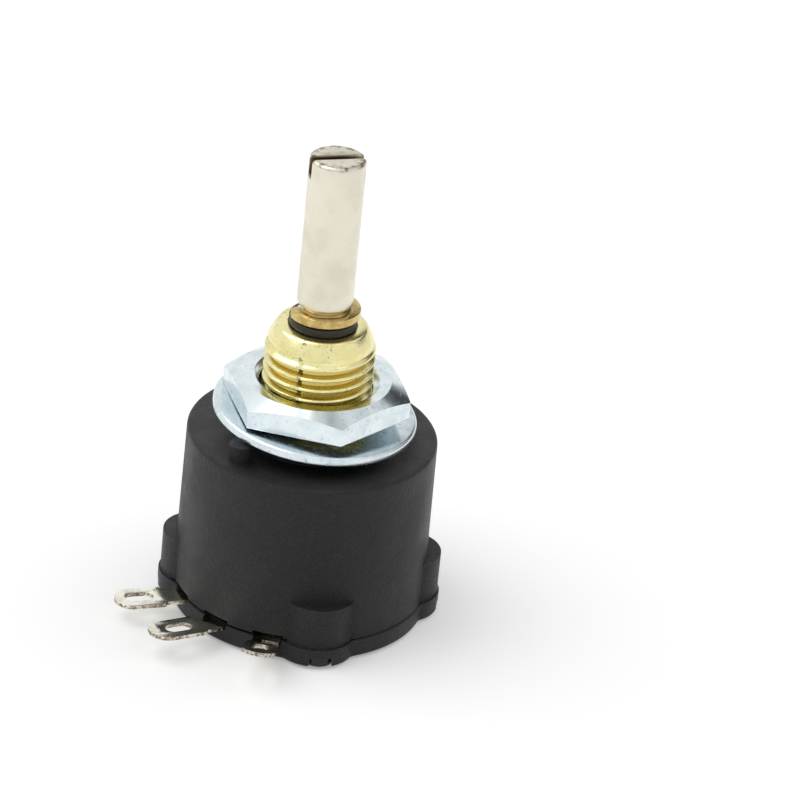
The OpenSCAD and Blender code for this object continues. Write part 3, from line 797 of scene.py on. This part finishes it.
@dataclass
class Assembly:
    """Base of all sub-assemblies: it publishes their pieces."""

    body: str = "case"

    def publish(self, bm: BMesh, name: str, finish: Finish, nodes: tuple[str, ...],
                smooth: float = 32.0) -> bpy.types.Object:
        """Makes an object of a mesh, dresses it and hands it to the frame.

        Args:
            bm: The finished mesh; it is used up.
            name: Name of the piece.
            finish: Its finish.
            nodes: CAD nodes that it stands for.
            smooth: Edges that turn more than this stay crisp.

        Returns:
            The new object.
        """
        for face in bm.faces:
            face.smooth = True
        for edge in bm.edges:
            edge.smooth = edge.calc_face_angle(math.pi) < math.radians(smooth)
        mesh = mesh_of(bm, name)
        mesh.materials.append(finish.material())
        piece = linked(name, mesh)
        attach(piece, self.body)
        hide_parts(*nodes)
        LOG.info("%s: %d faces, rides on %s", name, len(mesh.polygons), self.body)
        return piece


@dataclass
class Case(Assembly):
    """Moulded housing, rear cover and the four screws that join them."""

    front_r: float = 13.45
    rear_r: float = 13.63
    bore_r: float = 12.0
    ledge_r: float = 11.2
    ledge_z: float = -4.8
    edge_r: float = 0.4
    boss_r: float = 8.0
    collar_r: float = 6.52
    lobe_r: float = 15.1
    lobe_bulge: float = 4.1
    lobe_hollow: float = 1.0
    lobe_root_r: float = 12.4
    lobe_h: float = 4.75
    lobe_crown: float = 0.3
    seam_ease: float = 0.14
    cover_r: float = 13.73
    cover_edge: float = 0.3
    proud: float = 0.2
    rim_r: Span = (10.9, 11.95)
    rim_h: float = 1.06
    bearing_r: float = 3.5
    bearing_bore_r: float = 1.53
    stop_r: Span = (7.6, 8.8)
    stop_half: float = 23.5
    stop_azimuth: float = -5.5
    screw_r: float = 13.6
    head_r: float = 1.65
    head_h: float = 1.3
    sunk: float = 1.05
    shank_r: Span = (0.66, 0.85)
    thread_pitch: float = 0.5
    peg_place: Span = (-99.5, 10.9)
    peg_r: float = 1.25
    past_r: float = 16.0
    fan_r: float = 12.7
    lug_reliefs: tuple[Span, ...] = ((11.0, 0.25), (12.7, 0.6))
    relief_half: float = 1.7
    slot_half: float = 1.55
    slot_starts: tuple[float, ...] = (10.6, 5.7, 10.6)

    def lobe_outline(self, grow: float) -> list[Span]:
        """Gives the plan of a lobe: an arc that runs into the wall through small hollow fillets.

        Args:
            grow: How far it stands out past the housing's lobes.

        Returns:
            The outline's points along the X axis.
        """
        wall, bulge, hollow = self.front_r + 0.07 + grow, self.lobe_bulge + grow, self.lobe_hollow
        centre = self.lobe_r - self.lobe_bulge
        far = wall + hollow
        turn = math.acos((far ** 2 + centre ** 2 - (bulge + hollow) ** 2) / (2 * far * centre))
        knot = (far * math.cos(turn), -far * math.sin(turn))
        to_bulge = math.degrees(math.atan2(-knot[1], centre - knot[0]))
        root = (self.lobe_root_r * math.cos(turn), -self.lobe_root_r * math.sin(turn))
        near = [root, *arc(knot, hollow, 180.0 - math.degrees(turn), to_bulge, 5),
                *arc((centre, 0.0), bulge, to_bulge - 180.0, 0.0, 14)[1:]]
        return near + [(x, -y) for x, y in reversed(near[:-1])]

    def lobe(self, azimuth: float, grow: float, low: float, high: float, crown: float) -> BMesh:
        """Builds one lobe.

        Args:
            azimuth: Its direction.
            grow: How far it stands out past the housing's lobes.
            low: Height of its underside.
            high: Height of its top.
            crown: Rounding of its upper outer edge.

        Returns:
            The lobe.
        """
        bm = slab(self.lobe_outline(grow), low, high)
        eased(bm, crown, 60.0, 4, lambda e: lowest(e) > high * MM - HAIR
              and min(v.co.x for v in e.verts) > 13.3 * MM)
        return tidied(placed(bm, turned(azimuth)))

    def peg(self) -> BMesh:
        """Builds the locating peg with its rounded rim and faint crown."""
        peg = spun([(0.0, -1.7), (self.peg_r, -1.7), (self.peg_r, 0.6),
                    *arc((self.peg_r - 0.2, 0.62), 0.2, 0, 60, 3), (0.55, 0.86), (0.0, 0.9)], 40)
        return placed(peg, turned(*self.peg_place))

    def housing(self) -> None:
        """Builds the housing: drafted wall, boss, peg, lobes and the reliefs over the lugs."""
        ease, edge = self.seam_ease, self.edge_r
        bm = spun([(self.rear_r - ease, SEAM_Z), (self.rear_r, SEAM_Z + ease),
                   *arc((self.front_r - edge, FRONT_Z - edge), edge, 0, 90, 6),
                   (self.boss_r, FRONT_Z), (self.boss_r, 0.0), (self.collar_r, 0.0),
                   (self.collar_r, WALL_Z), (self.ledge_r, WALL_Z), (self.ledge_r, self.ledge_z),
                   (self.bore_r, self.ledge_z), (self.bore_r, SEAM_Z)], 180)
        for azimuth in LOBE_AZIMUTHS:
            lobe = self.lobe(azimuth, 0.0, SEAM_Z, SEAM_Z + self.lobe_h, self.lobe_crown)
            bm = combined(bm, lobe, Join.ADD)
        bm = combined(bm, self.peg(), Join.ADD)
        fan = sector(self.fan_r, self.past_r, LUG_AZIMUTHS[0] - 13.0, LUG_AZIMUTHS[-1] + 9.0, 30)
        bm = combined(bm, slab(fan, SEAM_Z - 1.0, SEAM_Z + 0.3), Join.CUT)
        for azimuth in LUG_AZIMUTHS:
            for start, height in self.lug_reliefs:
                relief = bar(start, self.past_r, self.relief_half, SEAM_Z - 1.0, SEAM_Z + height)
                bm = combined(bm, placed(relief, turned(azimuth)), Join.CUT)
        self.publish(bm, "housing_moulding", CASE, ("housing",))

    def plate(self) -> BMesh:
        """Builds the cover's plate with its lobes."""
        ease, edge, rim = self.seam_ease, self.cover_edge, self.cover_r
        bm = spun([(0.0, SEAM_Z), (0.0, COVER_Z), (rim - edge, COVER_Z),
                   *arc((rim - edge, COVER_Z + edge), edge, -70, 0, 4), (rim, SEAM_Z - ease),
                   (rim - ease, SEAM_Z)], 180)
        for azimuth in LOBE_AZIMUTHS:
            part = self.lobe(azimuth, self.proud, COVER_Z, SEAM_Z, 0.1)
            eased(part, 0.25, 60.0, 2, lambda e: max(v.co.z for v in e.verts) < COVER_Z * MM + HAIR
                  and min(reaches(e)) > 13.2 * MM)
            bm = combined(bm, part, Join.ADD)
        return bm

    def cover(self) -> None:
        """Builds the rear cover: plate, card rim, bearing boss, stop post, screw pockets and lug slots."""
        foot, (inner, outer), rim_z = SEAM_Z - 0.4, self.rim_r, SEAM_Z + self.rim_h
        rim = spun([(outer, foot), (outer, rim_z), (inner, rim_z), (inner, foot)], 96)
        bm = combined(self.plate(), rim, Join.ADD)
        bm = combined(bm, rod(self.bearing_r, foot, SEAM_Z + 0.95, 64), Join.ADD)
        bm = combined(bm, rod(self.bearing_bore_r, SEAM_Z - 0.95, SEAM_Z + 2.0, 48), Join.CUT)
        post = slab(sector(*self.stop_r, -self.stop_half, self.stop_half, 12), SEAM_Z - 0.2,
                    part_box("rear_cover")[1].z / MM)
        bm = combined(bm, placed(post, turned(self.stop_azimuth)), Join.ADD)
        wide, narrow, seat = self.head_r + 0.3, self.shank_r[1] + 0.02, COVER_Z + self.sunk
        for azimuth in LOBE_AZIMUTHS:
            pocket = spun([(0.0, COVER_Z - 1), (wide, COVER_Z - 1), (wide, seat), (narrow, seat),
                           (narrow, SEAM_Z + 1), (0.0, SEAM_Z + 1)], 40)
            bm = combined(bm, placed(pocket, turned(azimuth, self.screw_r)), Join.CUT)
        for azimuth, start in zip(LUG_AZIMUTHS, self.slot_starts):
            top = SEAM_Z + (0.001 if azimuth == LUG_AZIMUTHS[1] else 2.0)
            slot = bar(start, self.past_r, self.slot_half, SEAM_Z - 0.47, top)
            bm = combined(bm, placed(slot, turned(azimuth)), Join.CUT)
        self.publish(bm, "cover_moulding", CASE, ("rear_cover",))

    def screws(self) -> None:
        """Builds the four pan-head screws with their cross recesses and threaded shanks."""
        seat = COVER_Z + self.sunk
        base, (root, crest) = seat - self.head_h, self.shank_r
        parts = []
        for azimuth in LOBE_AZIMUTHS:
            dome = arc((0.0, base + 3.9), 3.9, -90, -66, 5)
            rim = arc((self.head_r - 0.25, base + 0.6), 0.25, -50, 0, 3)
            thread = []
            level = seat
            while level < SEAM_Z + 3.7:
                thread += [(root, level + 0.1), (crest, level + 0.3), (root, level + 0.5)]
                level += self.thread_pitch
            screw = spun([*dome, *rim, (self.head_r, seat), *thread, (0.0, SEAM_Z + 4.0)], 40)
            for turn in (0.0, 90.0):
                cross = placed(bar(-1.0, 1.0, 0.22, base - 1, base + 0.7), turned(turn + azimuth))
                screw = combined(screw, cross, Join.CUT)
            parts.append(placed(screw, turned(azimuth, self.screw_r)))
        self.publish(merged(parts), "cover_screw_set", SCREW_BLACK, ("cover_screws",))

    def build(self) -> None:
        """Builds every piece of the case."""
        self.housing()
        self.cover()
        self.screws()


@dataclass
class PanelFixing(Assembly):
    """Threaded bush, mounting nut and flat washer."""

    crest_r: float = 5.95
    root_r: float = 5.32
    pitch: float = 1.25
    bush_h: float = 11.75
    taper_z: float = 8.8
    mouth_r: float = 4.8
    sink_r: float = 3.75
    bore_r: float = 3.03
    collar_r: float = 6.5
    flange_r: float = 8.0
    flange_z: float = -4.2
    parting_step: float = 0.12
    parting_reach: float = 40.0
    thread_top: float = 10.7
    blank: Span = (-0.9, 12.6)
    points_per_turn: int = 16
    steps: int = 144
    nut_flats: float = 17.9
    nut_azimuth: float = 50.7
    nut_face_r: float = 7.9
    nut_chamfer: float = 23.0
    nut_bore_r: float = 5.99
    washer_r: Span = (6.3, 11.0)
    washer_t: float = 1.0
    washer_lift: float = 0.66
    washer_azimuth: float = -152.0
    washer_tilt: float = 4.2

    def envelope(self, z: float) -> float:
        """Gives the radius of the bush's blank at a height."""
        share = (z - self.taper_z) / (self.bush_h - 0.2 - self.taper_z)
        return self.crest_r - (self.crest_r - self.mouth_r - 0.1) * max(0.0, share) ** 1.7

    def groove(self, phase: float, z: float) -> float:
        """Gives the depth of the thread's groove; the last turns run out over the taper.

        Args:
            phase: Place across the pitch, in turns.
            z: Height.

        Returns:
            The depth.
        """
        off = abs((phase % 1.0) - 0.5) * 2
        share = min(1.0, max(0.0, (off - 0.2) / 0.5))
        run_out = min(1.0, max(0.0, (self.thread_top - z) / 2.0))
        return (self.crest_r - self.root_r) * share * run_out ** 1.5

    def thread_r(self, turn: float, z: float) -> float:
        """Gives the radius of the threaded surface, with the step of the die's parting line.

        Args:
            turn: Direction.
            z: Height.

        Returns:
            The radius.
        """
        past = (turn - PARTING) % 360.0
        offset = self.parting_step if past < 180.0 else 0.0
        radius = self.envelope(z) - self.groove(z / self.pitch - turn / 360.0 + offset / self.pitch, z)
        if -self.parting_reach < past - 360.0 < 0.0 and z > 8.6:
            radius += self.parting_step * 0.5
        return radius

    def extend_loop(self, bm: BMesh, loop: list[Edge], radius: float, z: float) -> list[Edge]:
        """Extrudes a loop round the axis to another radius and height.

        Args:
            bm: The mesh.
            loop: The loop's edges.
            radius: New radius.
            z: New height.

        Returns:
            The edges of the new loop.
        """
        grown = bmesh.ops.extrude_edge_only(bm, edges=loop)["geom"]
        for vert in (v for v in grown if isinstance(v, bmesh.types.BMVert)):
            vert.co = polar(radius, math.atan2(vert.co.y, vert.co.x), z)
        return [e for e in grown if isinstance(e, Edge)]

    def screwed(self) -> BMesh:
        """Builds the threaded surface of the bush, trimmed at both ends and open there."""
        rise, (start, length) = self.pitch / self.points_per_turn, self.blank
        bm = bmesh.new()
        line = [bm.verts.new((self.crest_r * MM, 0.0, (start + i * rise) * MM))
                for i in range(round(length / rise))]
        strip = [bm.edges.new(pair) for pair in zip(line, line[1:])]
        bmesh.ops.spin(bm, geom=line + strip, cent=(0, 0, 0), axis=UP, angle=math.tau,
                       dvec=(0, 0, self.pitch * MM / self.steps), steps=self.steps, use_duplicate=False)
        bmesh.ops.remove_doubles(bm, verts=bm.verts, dist=2e-6)
        for vert in bm.verts:
            turn, z = math.degrees(math.atan2(vert.co.y, vert.co.x)), vert.co.z / MM
            vert.co = polar(self.thread_r(turn, z), math.radians(turn), z)
        for level, outer in ((self.bush_h - 0.2, True), (0.02, False)):
            bmesh.ops.bisect_plane(bm, geom=list(bm.verts) + list(bm.edges) + list(bm.faces), dist=1e-7,
                                   plane_co=(0, 0, level * MM), plane_no=UP, clear_outer=outer,
                                   clear_inner=not outer)
        return bm

    def bush(self) -> None:
        """Builds the bush: the threaded surface with mouth, bore, collar and flange."""
        bm, end = self.screwed(), self.bush_h
        rims = [e for e in bm.edges if len(e.link_faces) == 1]
        top = [e for e in rims if e.verts[0].co.z > 5 * MM]
        low = [e for e in rims if e.verts[0].co.z < 5 * MM]
        for radius, z in ((self.mouth_r - 0.02, end - 0.06), (self.mouth_r - 0.12, end), (self.sink_r, end),
                          (self.bore_r, end - 0.72)):
            top = self.extend_loop(bm, top, radius, z)
        for radius, z in ((self.collar_r, 0.0), (self.collar_r, WALL_Z), (self.flange_r, WALL_Z),
                          (self.flange_r, self.flange_z), (self.bore_r, self.flange_z)):
            low = self.extend_loop(bm, low, radius, z)
        bmesh.ops.bridge_loops(bm, edges=top + low)
        self.publish(tidied(bm), "bush_turning", BUSH_BRASS, ("threaded_bush",), 40.0)

    def nut(self) -> None:
        """Builds the hexagon nut, chamfered on top, with a countersunk hole."""
        base, top = (corner.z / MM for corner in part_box("mounting_nut"))
        corner, face, bore = self.nut_flats / 2 / math.cos(math.radians(30)), self.nut_face_r, self.nut_bore_r
        bm = bmesh.new()
        bmesh.ops.create_circle(bm, cap_ends=True, segments=6, radius=corner * MM,
                                matrix=turned(self.nut_azimuth) @ Matrix.Translation((0, 0, base * MM)))
        lifted(bm, top - base)
        eased(bm, 0.12, 40.0, 2)
        rim = corner + 0.1
        drop = (rim - face) * math.tan(math.radians(self.nut_chamfer))
        blank = spun([(0.0, base - 0.1), (rim, base - 0.1), (rim, top - drop), (face, top),
                      (face - 0.2, top + 0.04), (0.0, top + 0.04)], 160)
        bm = combined(bm, blank, Join.SHARE)
        hole = [(0.0, base - 1), (7.0, base - 1), (6.7, base), (bore, base + 0.7),
                (bore, top - 0.7), (6.72, top), (7.0, top + 1), (0.0, top + 1)]
        bm = combined(bm, spun(hole, 128), Join.CUT)
        eased(bm, 0.05, 28.0, 1, lambda e: max(reaches(e)) < 7.2 * MM)
        self.publish(bm, "hexagon_nut", ZINC, ("mounting_nut",), 15.0)

    def washer(self) -> None:
        """Builds the loose flat washer with its rolled stamped edges, tilted as it lies."""
        thick, (hole, rim) = self.washer_t, self.washer_r
        bm = spun([*arc((rim - 0.35, thick - 0.35), 0.35, 0, 90, 5),
                   *arc((hole + 0.2, thick - 0.2), 0.2, 90, 180, 3),
                   *arc((hole + 0.12, 0.12), 0.12, 180, 270, 3),
                   *arc((rim - 0.2, 0.2), 0.2, -90, 0, 4)], 144)
        placed(bm, Matrix.Translation((0, 0, self.washer_lift * MM)) @ turned(self.washer_azimuth)
               @ Matrix.Rotation(math.radians(-self.washer_tilt), 4, "Y"))
        self.publish(bm, "stamped_washer", SHADED_WASHER_ZINC, ("flat_washer",))

    def build(self) -> None:
        """Builds every piece of the panel fixing."""
        self.bush()
        self.nut()
        self.washer()


@dataclass
class FrontThrust(Assembly):
    """The still thrust washer in the mouth of the bush."""

    bore_r: float = 3.03

    def build(self) -> None:
        """Builds the washer with eased rims."""
        low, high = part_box("front_thrust_washer")
        base, top, rim = low.z / MM, high.z / MM, high.x / MM
        profile = [*arc((rim - 0.15, top - 0.15), 0.15, 0, 90, 3), (self.bore_r, top), (self.bore_r, base),
                   *arc((rim - 0.1, base + 0.1), 0.1, -90, 0, 3)]
        self.publish(spun(profile, 96), "mouth_washer", FIBRE, ("front_thrust_washer",))


@dataclass
class ControlShaft(Assembly):
    """The control shaft with its screwdriver slot, and the clip that holds it."""

    body: str = "shaft"
    radius: float = 3.0
    journal_r: float = 1.5
    shoulder_z: float = -4.24
    groove_r: float = 2.5
    groove_w: float = 1.3
    slot_w: float = 1.1
    slot_depth: float = 1.8
    clip_r: Span = (2.52, 3.9)
    clip_half_gap: float = 42.5
    clip_azimuth: float = 200.0

    def shaft(self) -> None:
        """Builds the turned shaft and cuts its slot."""
        bottom, tip = (corner.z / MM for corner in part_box("control_shaft"))
        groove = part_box("retaining_clip")[0].z / MM - 0.05
        radius, journal, neck = self.radius, self.journal_r, self.groove_r
        bm = spun([(0.0, bottom), (journal - 0.2, bottom), (journal, bottom + 0.2),
                   (journal, self.shoulder_z), (radius, self.shoulder_z), (radius, groove),
                   (neck, groove), (neck, groove + self.groove_w),
                   *arc((radius - 0.35, groove + self.groove_w + 0.35), 0.35, -90, 0, 5),
                   *arc((radius - 0.4, tip - 0.4), 0.4, 0, 80, 6), (2.4, tip), (0.0, tip)], 144)
        floor = tip - self.slot_depth
        cutter = placed(bar(-4, 4, self.slot_w / 2, floor, tip + 1), turned(SLOT_AZIMUTH))
        bm = combined(bm, cutter, Join.CUT)
        eased(bm, 0.06, 40.0, 2, lambda e: lowest(e) > (floor - 0.05) * MM)
        self.publish(bm, "control_shaft_turning", NICKEL, ("control_shaft",), 30.0)

    def clip(self) -> None:
        """Builds the open retaining clip with rounded ends."""
        base, top = (corner.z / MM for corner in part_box("retaining_clip"))
        (inner, outer), gap = self.clip_r, self.clip_half_gap
        middle, blob, last = (inner + outer) / 2, (outer - inner) / 2, 360 - gap
        end = math.radians(last)
        tail, lead = ((middle * math.cos(a), middle * math.sin(a)) for a in (end, -end))
        bm = slab([*arc((0, 0), outer, gap, last, 72), *arc(tail, blob, last, last + 180, 8)[1:-1],
                   *arc((0, 0), inner, last, gap, 60), *arc(lead, blob, gap - 180, gap, 8)[1:-1]], base, top)
        eased(placed(bm, turned(self.clip_azimuth)), 0.09, 40.0, 2)
        self.publish(bm, "open_clip", CLIP_BRASS, ("retaining_clip",))

    def build(self) -> None:
        """Builds every piece that is seen on the shaft."""
        self.shaft()
        self.clip()


@dataclass(frozen=True)
class LugShape:
    """What differs from one solder lug to the next."""

    node: str
    azimuth: float
    bend: float
    skew: float
    extra: float
    tail_r: float
    tab: bool


@dataclass
class SolderLugs(Assembly):
    """The fan of three stamped and bent solder lugs."""

    thick: float = 0.45
    neck_half: float = 1.45
    head_half: float = 1.85
    bend_r: float = 13.93
    shoulder_r: float = 15.7
    tip_r: float = 21.1
    eye_l: float = 3.15
    eye_r: float = 0.8
    tab_t: float = 0.32
    rivet_r: float = 6.6
    rivet_hole_r: float = 0.57
    shapes: tuple[LugShape, ...] = (
        LugShape("left_lug", LUG_AZIMUTHS[0], 1.0, -4.0, 0.0, 10.66, True),
        LugShape("middle_lug", LUG_AZIMUTHS[1], 6.0, -15.0, 0.8, 5.8, False),
        LugShape("right_lug", LUG_AZIMUTHS[2], 19.0, 4.0, 0.0, 10.66, True))

    def blade(self, shape: LugShape) -> BMesh:
        """Builds the bent outer blade of a lug with its eye.

        Args:
            shape: The lug.

        Returns:
            The blade, in place before its turn to the lug's direction.
        """
        neck, head, half = self.neck_half, self.head_half, self.thick / 2
        shoulder = self.shoulder_r - self.bend_r
        eye_x = self.tip_r - self.bend_r - head - 0.1
        side = [(-0.12, -neck), (shoulder - 0.15, -neck), (shoulder + 0.1, -head)]
        tip = arc((eye_x + 0.1 + shape.extra, 0.0), head, -90, 90, 16)
        bm = slab([*side, *tip, *((x, -y) for x, y in reversed(side))], -half, half)
        near = eye_x - self.eye_l + self.eye_r * 2
        eye = arc((near, 0.0), self.eye_r, 90, 270, 10) + arc((eye_x, 0.0), self.eye_r, -90, 90, 10)
        bm = combined(bm, slab(eye, -1.0, 1.0), Join.CUT)
        return placed(bm, Matrix.Translation(metres((self.bend_r, 0, SEAM_Z - half)))
                      @ Matrix.Rotation(math.radians(-shape.bend), 4, "Y")
                      @ Matrix.Rotation(math.radians(shape.skew), 4, "Z"))

    def lug(self, shape: LugShape) -> None:
        """Builds one lug: root, blade, and its tab or rivet eye inside the case.

        Args:
            shape: The lug.
        """
        tail, low = shape.tail_r, SEAM_Z - self.thick
        root = bar(tail, self.bend_r + 0.05, self.neck_half, low, SEAM_Z)
        bm = combined(root, self.blade(shape), Join.ADD)
        if shape.tab:
            tab = bar(tail, tail + self.tab_t, 1, low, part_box(shape.node)[1].z / MM)
            bm = combined(bm, tab, Join.ADD)
        else:
            hole = rod(self.rivet_hole_r, low - 1, SEAM_Z + 1, 32)
            bm = combined(bm, placed(hole, turned(0.0, self.rivet_r)), Join.CUT)
        eased(bm, 0.06, 50.0, 2, lambda e: min(reaches(e)) > 14.2 * MM)
        self.publish(placed(bm, turned(shape.azimuth)), shape.node + "_stamping", TIN, (shape.node,))

    def build(self) -> None:
        """Builds all three lugs."""
        for shape in self.shapes:
            self.lug(shape)


@dataclass
class InnerWorks:
    """Gear train, wiper and resistance element, which keep their CAD meshes."""

    finishes: dict[str, Finish] = field(default_factory=lambda: dict(INNER_FINISHES))

    def build(self) -> None:
        """Dresses each inner node with its finish."""
        for name, finish in self.finishes.items():
            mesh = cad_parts[name].data
            mesh.materials.clear()
            mesh.materials.append(finish.material())
            LOG.info("%s: dressed as %s", name, finish.name)


# ---- Studio ----


@dataclass(frozen=True)
class Lamp:
    """A soft square lamp: its place and side in metres, its power in watts."""

    name: str
    place: tuple[float, float, float]
    side: float
    power: float


@dataclass
class Studio:
    """Pale floor, soft lamps and the camera."""

    camera_place: tuple[float, float, float] = (271.62, -416.83, 268.77)
    aim: tuple[float, float, float] = (6.533, 6.446, 2.457)
    roll: float = 5.904
    lens: float = 238.1
    floor_drop: float = 0.27
    floor_white: float = 0.82
    floor_lift: float = 0.28
    sky: float = 0.5
    dim_side: tuple[float, float, float] = (0.254, 0.698, 0.669)
    dim_edge: Span = (0.79, 0.86)
    mirrored: Span = (0.97, 0.04)
    lamps: tuple[Lamp, ...] = (Lamp("key", (-0.42, -0.28, 0.75), 0.8, 4.0),
                               Lamp("fill", (0.3, 0.5, 0.7), 0.8, 1.6))

    def camera(self) -> None:
        """Places the camera by its position, aim point and roll."""
        data = bpy.data.cameras.new("camera")
        data.lens, data.sensor_width = self.lens, 36.0
        data.clip_start, data.clip_end = 0.01, 10.0
        eye = Vector(self.camera_place) * MM
        look = (Vector(self.aim) * MM - eye).to_track_quat("-Z", "Y")
        unit = linked("camera", data)
        unit.matrix_world = Matrix.Translation(eye) @ look.to_matrix().to_4x4() @ turned(self.roll)
        bpy.context.scene.camera = unit

    def floor(self) -> None:
        """Builds the pale floor that takes the object's shadow and looks white to camera."""
        bm = bmesh.new()
        bmesh.ops.create_grid(bm, x_segments=2, y_segments=2, size=2.0)
        placed(bm, Matrix.Translation((0, 0, (COVER_Z - self.floor_drop) * MM)))
        mesh = mesh_of(bm, "floor")
        made = bpy.data.materials.new("floor_white")
        sheet = NodeSheet.emptied(made)
        path = sheet.add("ShaderNodeLightPath")
        paper = sheet.add("ShaderNodeBsdfDiffuse", {"Color": (*[self.floor_white] * 3, 1.0)})
        glow = sheet.add("ShaderNodeEmission", {"Color": (1.0, 1.0, 1.0, 1.0), "Strength": self.floor_lift})
        lit = sheet.add("ShaderNodeAddShader", {0: paper.outputs[0], 1: glow.outputs[0]})
        shown = sheet.math("MAXIMUM", path.outputs["Is Camera Ray"], path.outputs["Is Glossy Ray"])
        either = sheet.add("ShaderNodeMixShader", {0: shown, 1: paper.outputs[0], 2: lit.outputs[0]})
        sheet.add("ShaderNodeOutputMaterial", {"Surface": either.outputs[0]})
        mesh.materials.append(made)
        unit = linked("floor", mesh)
        LOG.info("floor: %s", unit.name)

    def light(self, lamp: Lamp) -> None:
        """Adds a lamp that faces the object.

        Args:
            lamp: The lamp.
        """
        data = bpy.data.lights.new(lamp.name, "AREA")
        data.size, data.energy = lamp.side, lamp.power
        spot = Vector(lamp.place)
        facing = (-spot).to_track_quat("-Z", "Y").to_matrix().to_4x4()
        linked(lamp.name, data).matrix_world = Matrix.Translation(spot) @ facing

    def surround(self) -> None:
        """Sets the world: even soft light, white to camera, with a dark side that bright metal mirrors."""
        world = bpy.data.worlds.new("surround")
        bpy.context.scene.world = world
        sheet = NodeSheet.emptied(world)
        path = sheet.add("ShaderNodeLightPath")
        way = sheet.add("ShaderNodeTexCoord")
        side = sheet.add("ShaderNodeVectorMath", {0: way.outputs["Generated"], 1: self.dim_side},
                         operation="DOT_PRODUCT")
        glare = sheet.remap(side.outputs["Value"], *self.dim_edge, *self.mirrored)
        soft, mirror, white = (
            sheet.add("ShaderNodeBackground", {"Color": (1, 1, 1, 1), "Strength": strength})
            for strength in (self.sky, glare, 1.0))
        plain = sheet.add("ShaderNodeMixShader", {0: path.outputs["Is Glossy Ray"], 1: soft.outputs[0],
                                                  2: mirror.outputs[0]})
        mixed = sheet.add("ShaderNodeMixShader", {0: path.outputs["Is Camera Ray"], 1: plain.outputs[0],
                                                  2: white.outputs[0]})
        sheet.add("ShaderNodeOutputWorld", {"Surface": mixed.outputs[0]})

    def build(self) -> None:
        """Builds the whole studio."""
        self.camera()
        self.floor()
        self.surround()
        for lamp in self.lamps:
            self.light(lamp)
        bpy.context.scene.view_settings.view_transform = "Standard"


def main() -> None:
    """Builds the studio and every sub-assembly in order."""
    logging.basicConfig(level=logging.INFO, format="%(name)s %(message)s")
    for part in (Studio(), Case(), PanelFixing(), FrontThrust(), ControlShaft(), SolderLugs(), InnerWorks()):
        part.build()


if __name__ == "__main__":
    main()
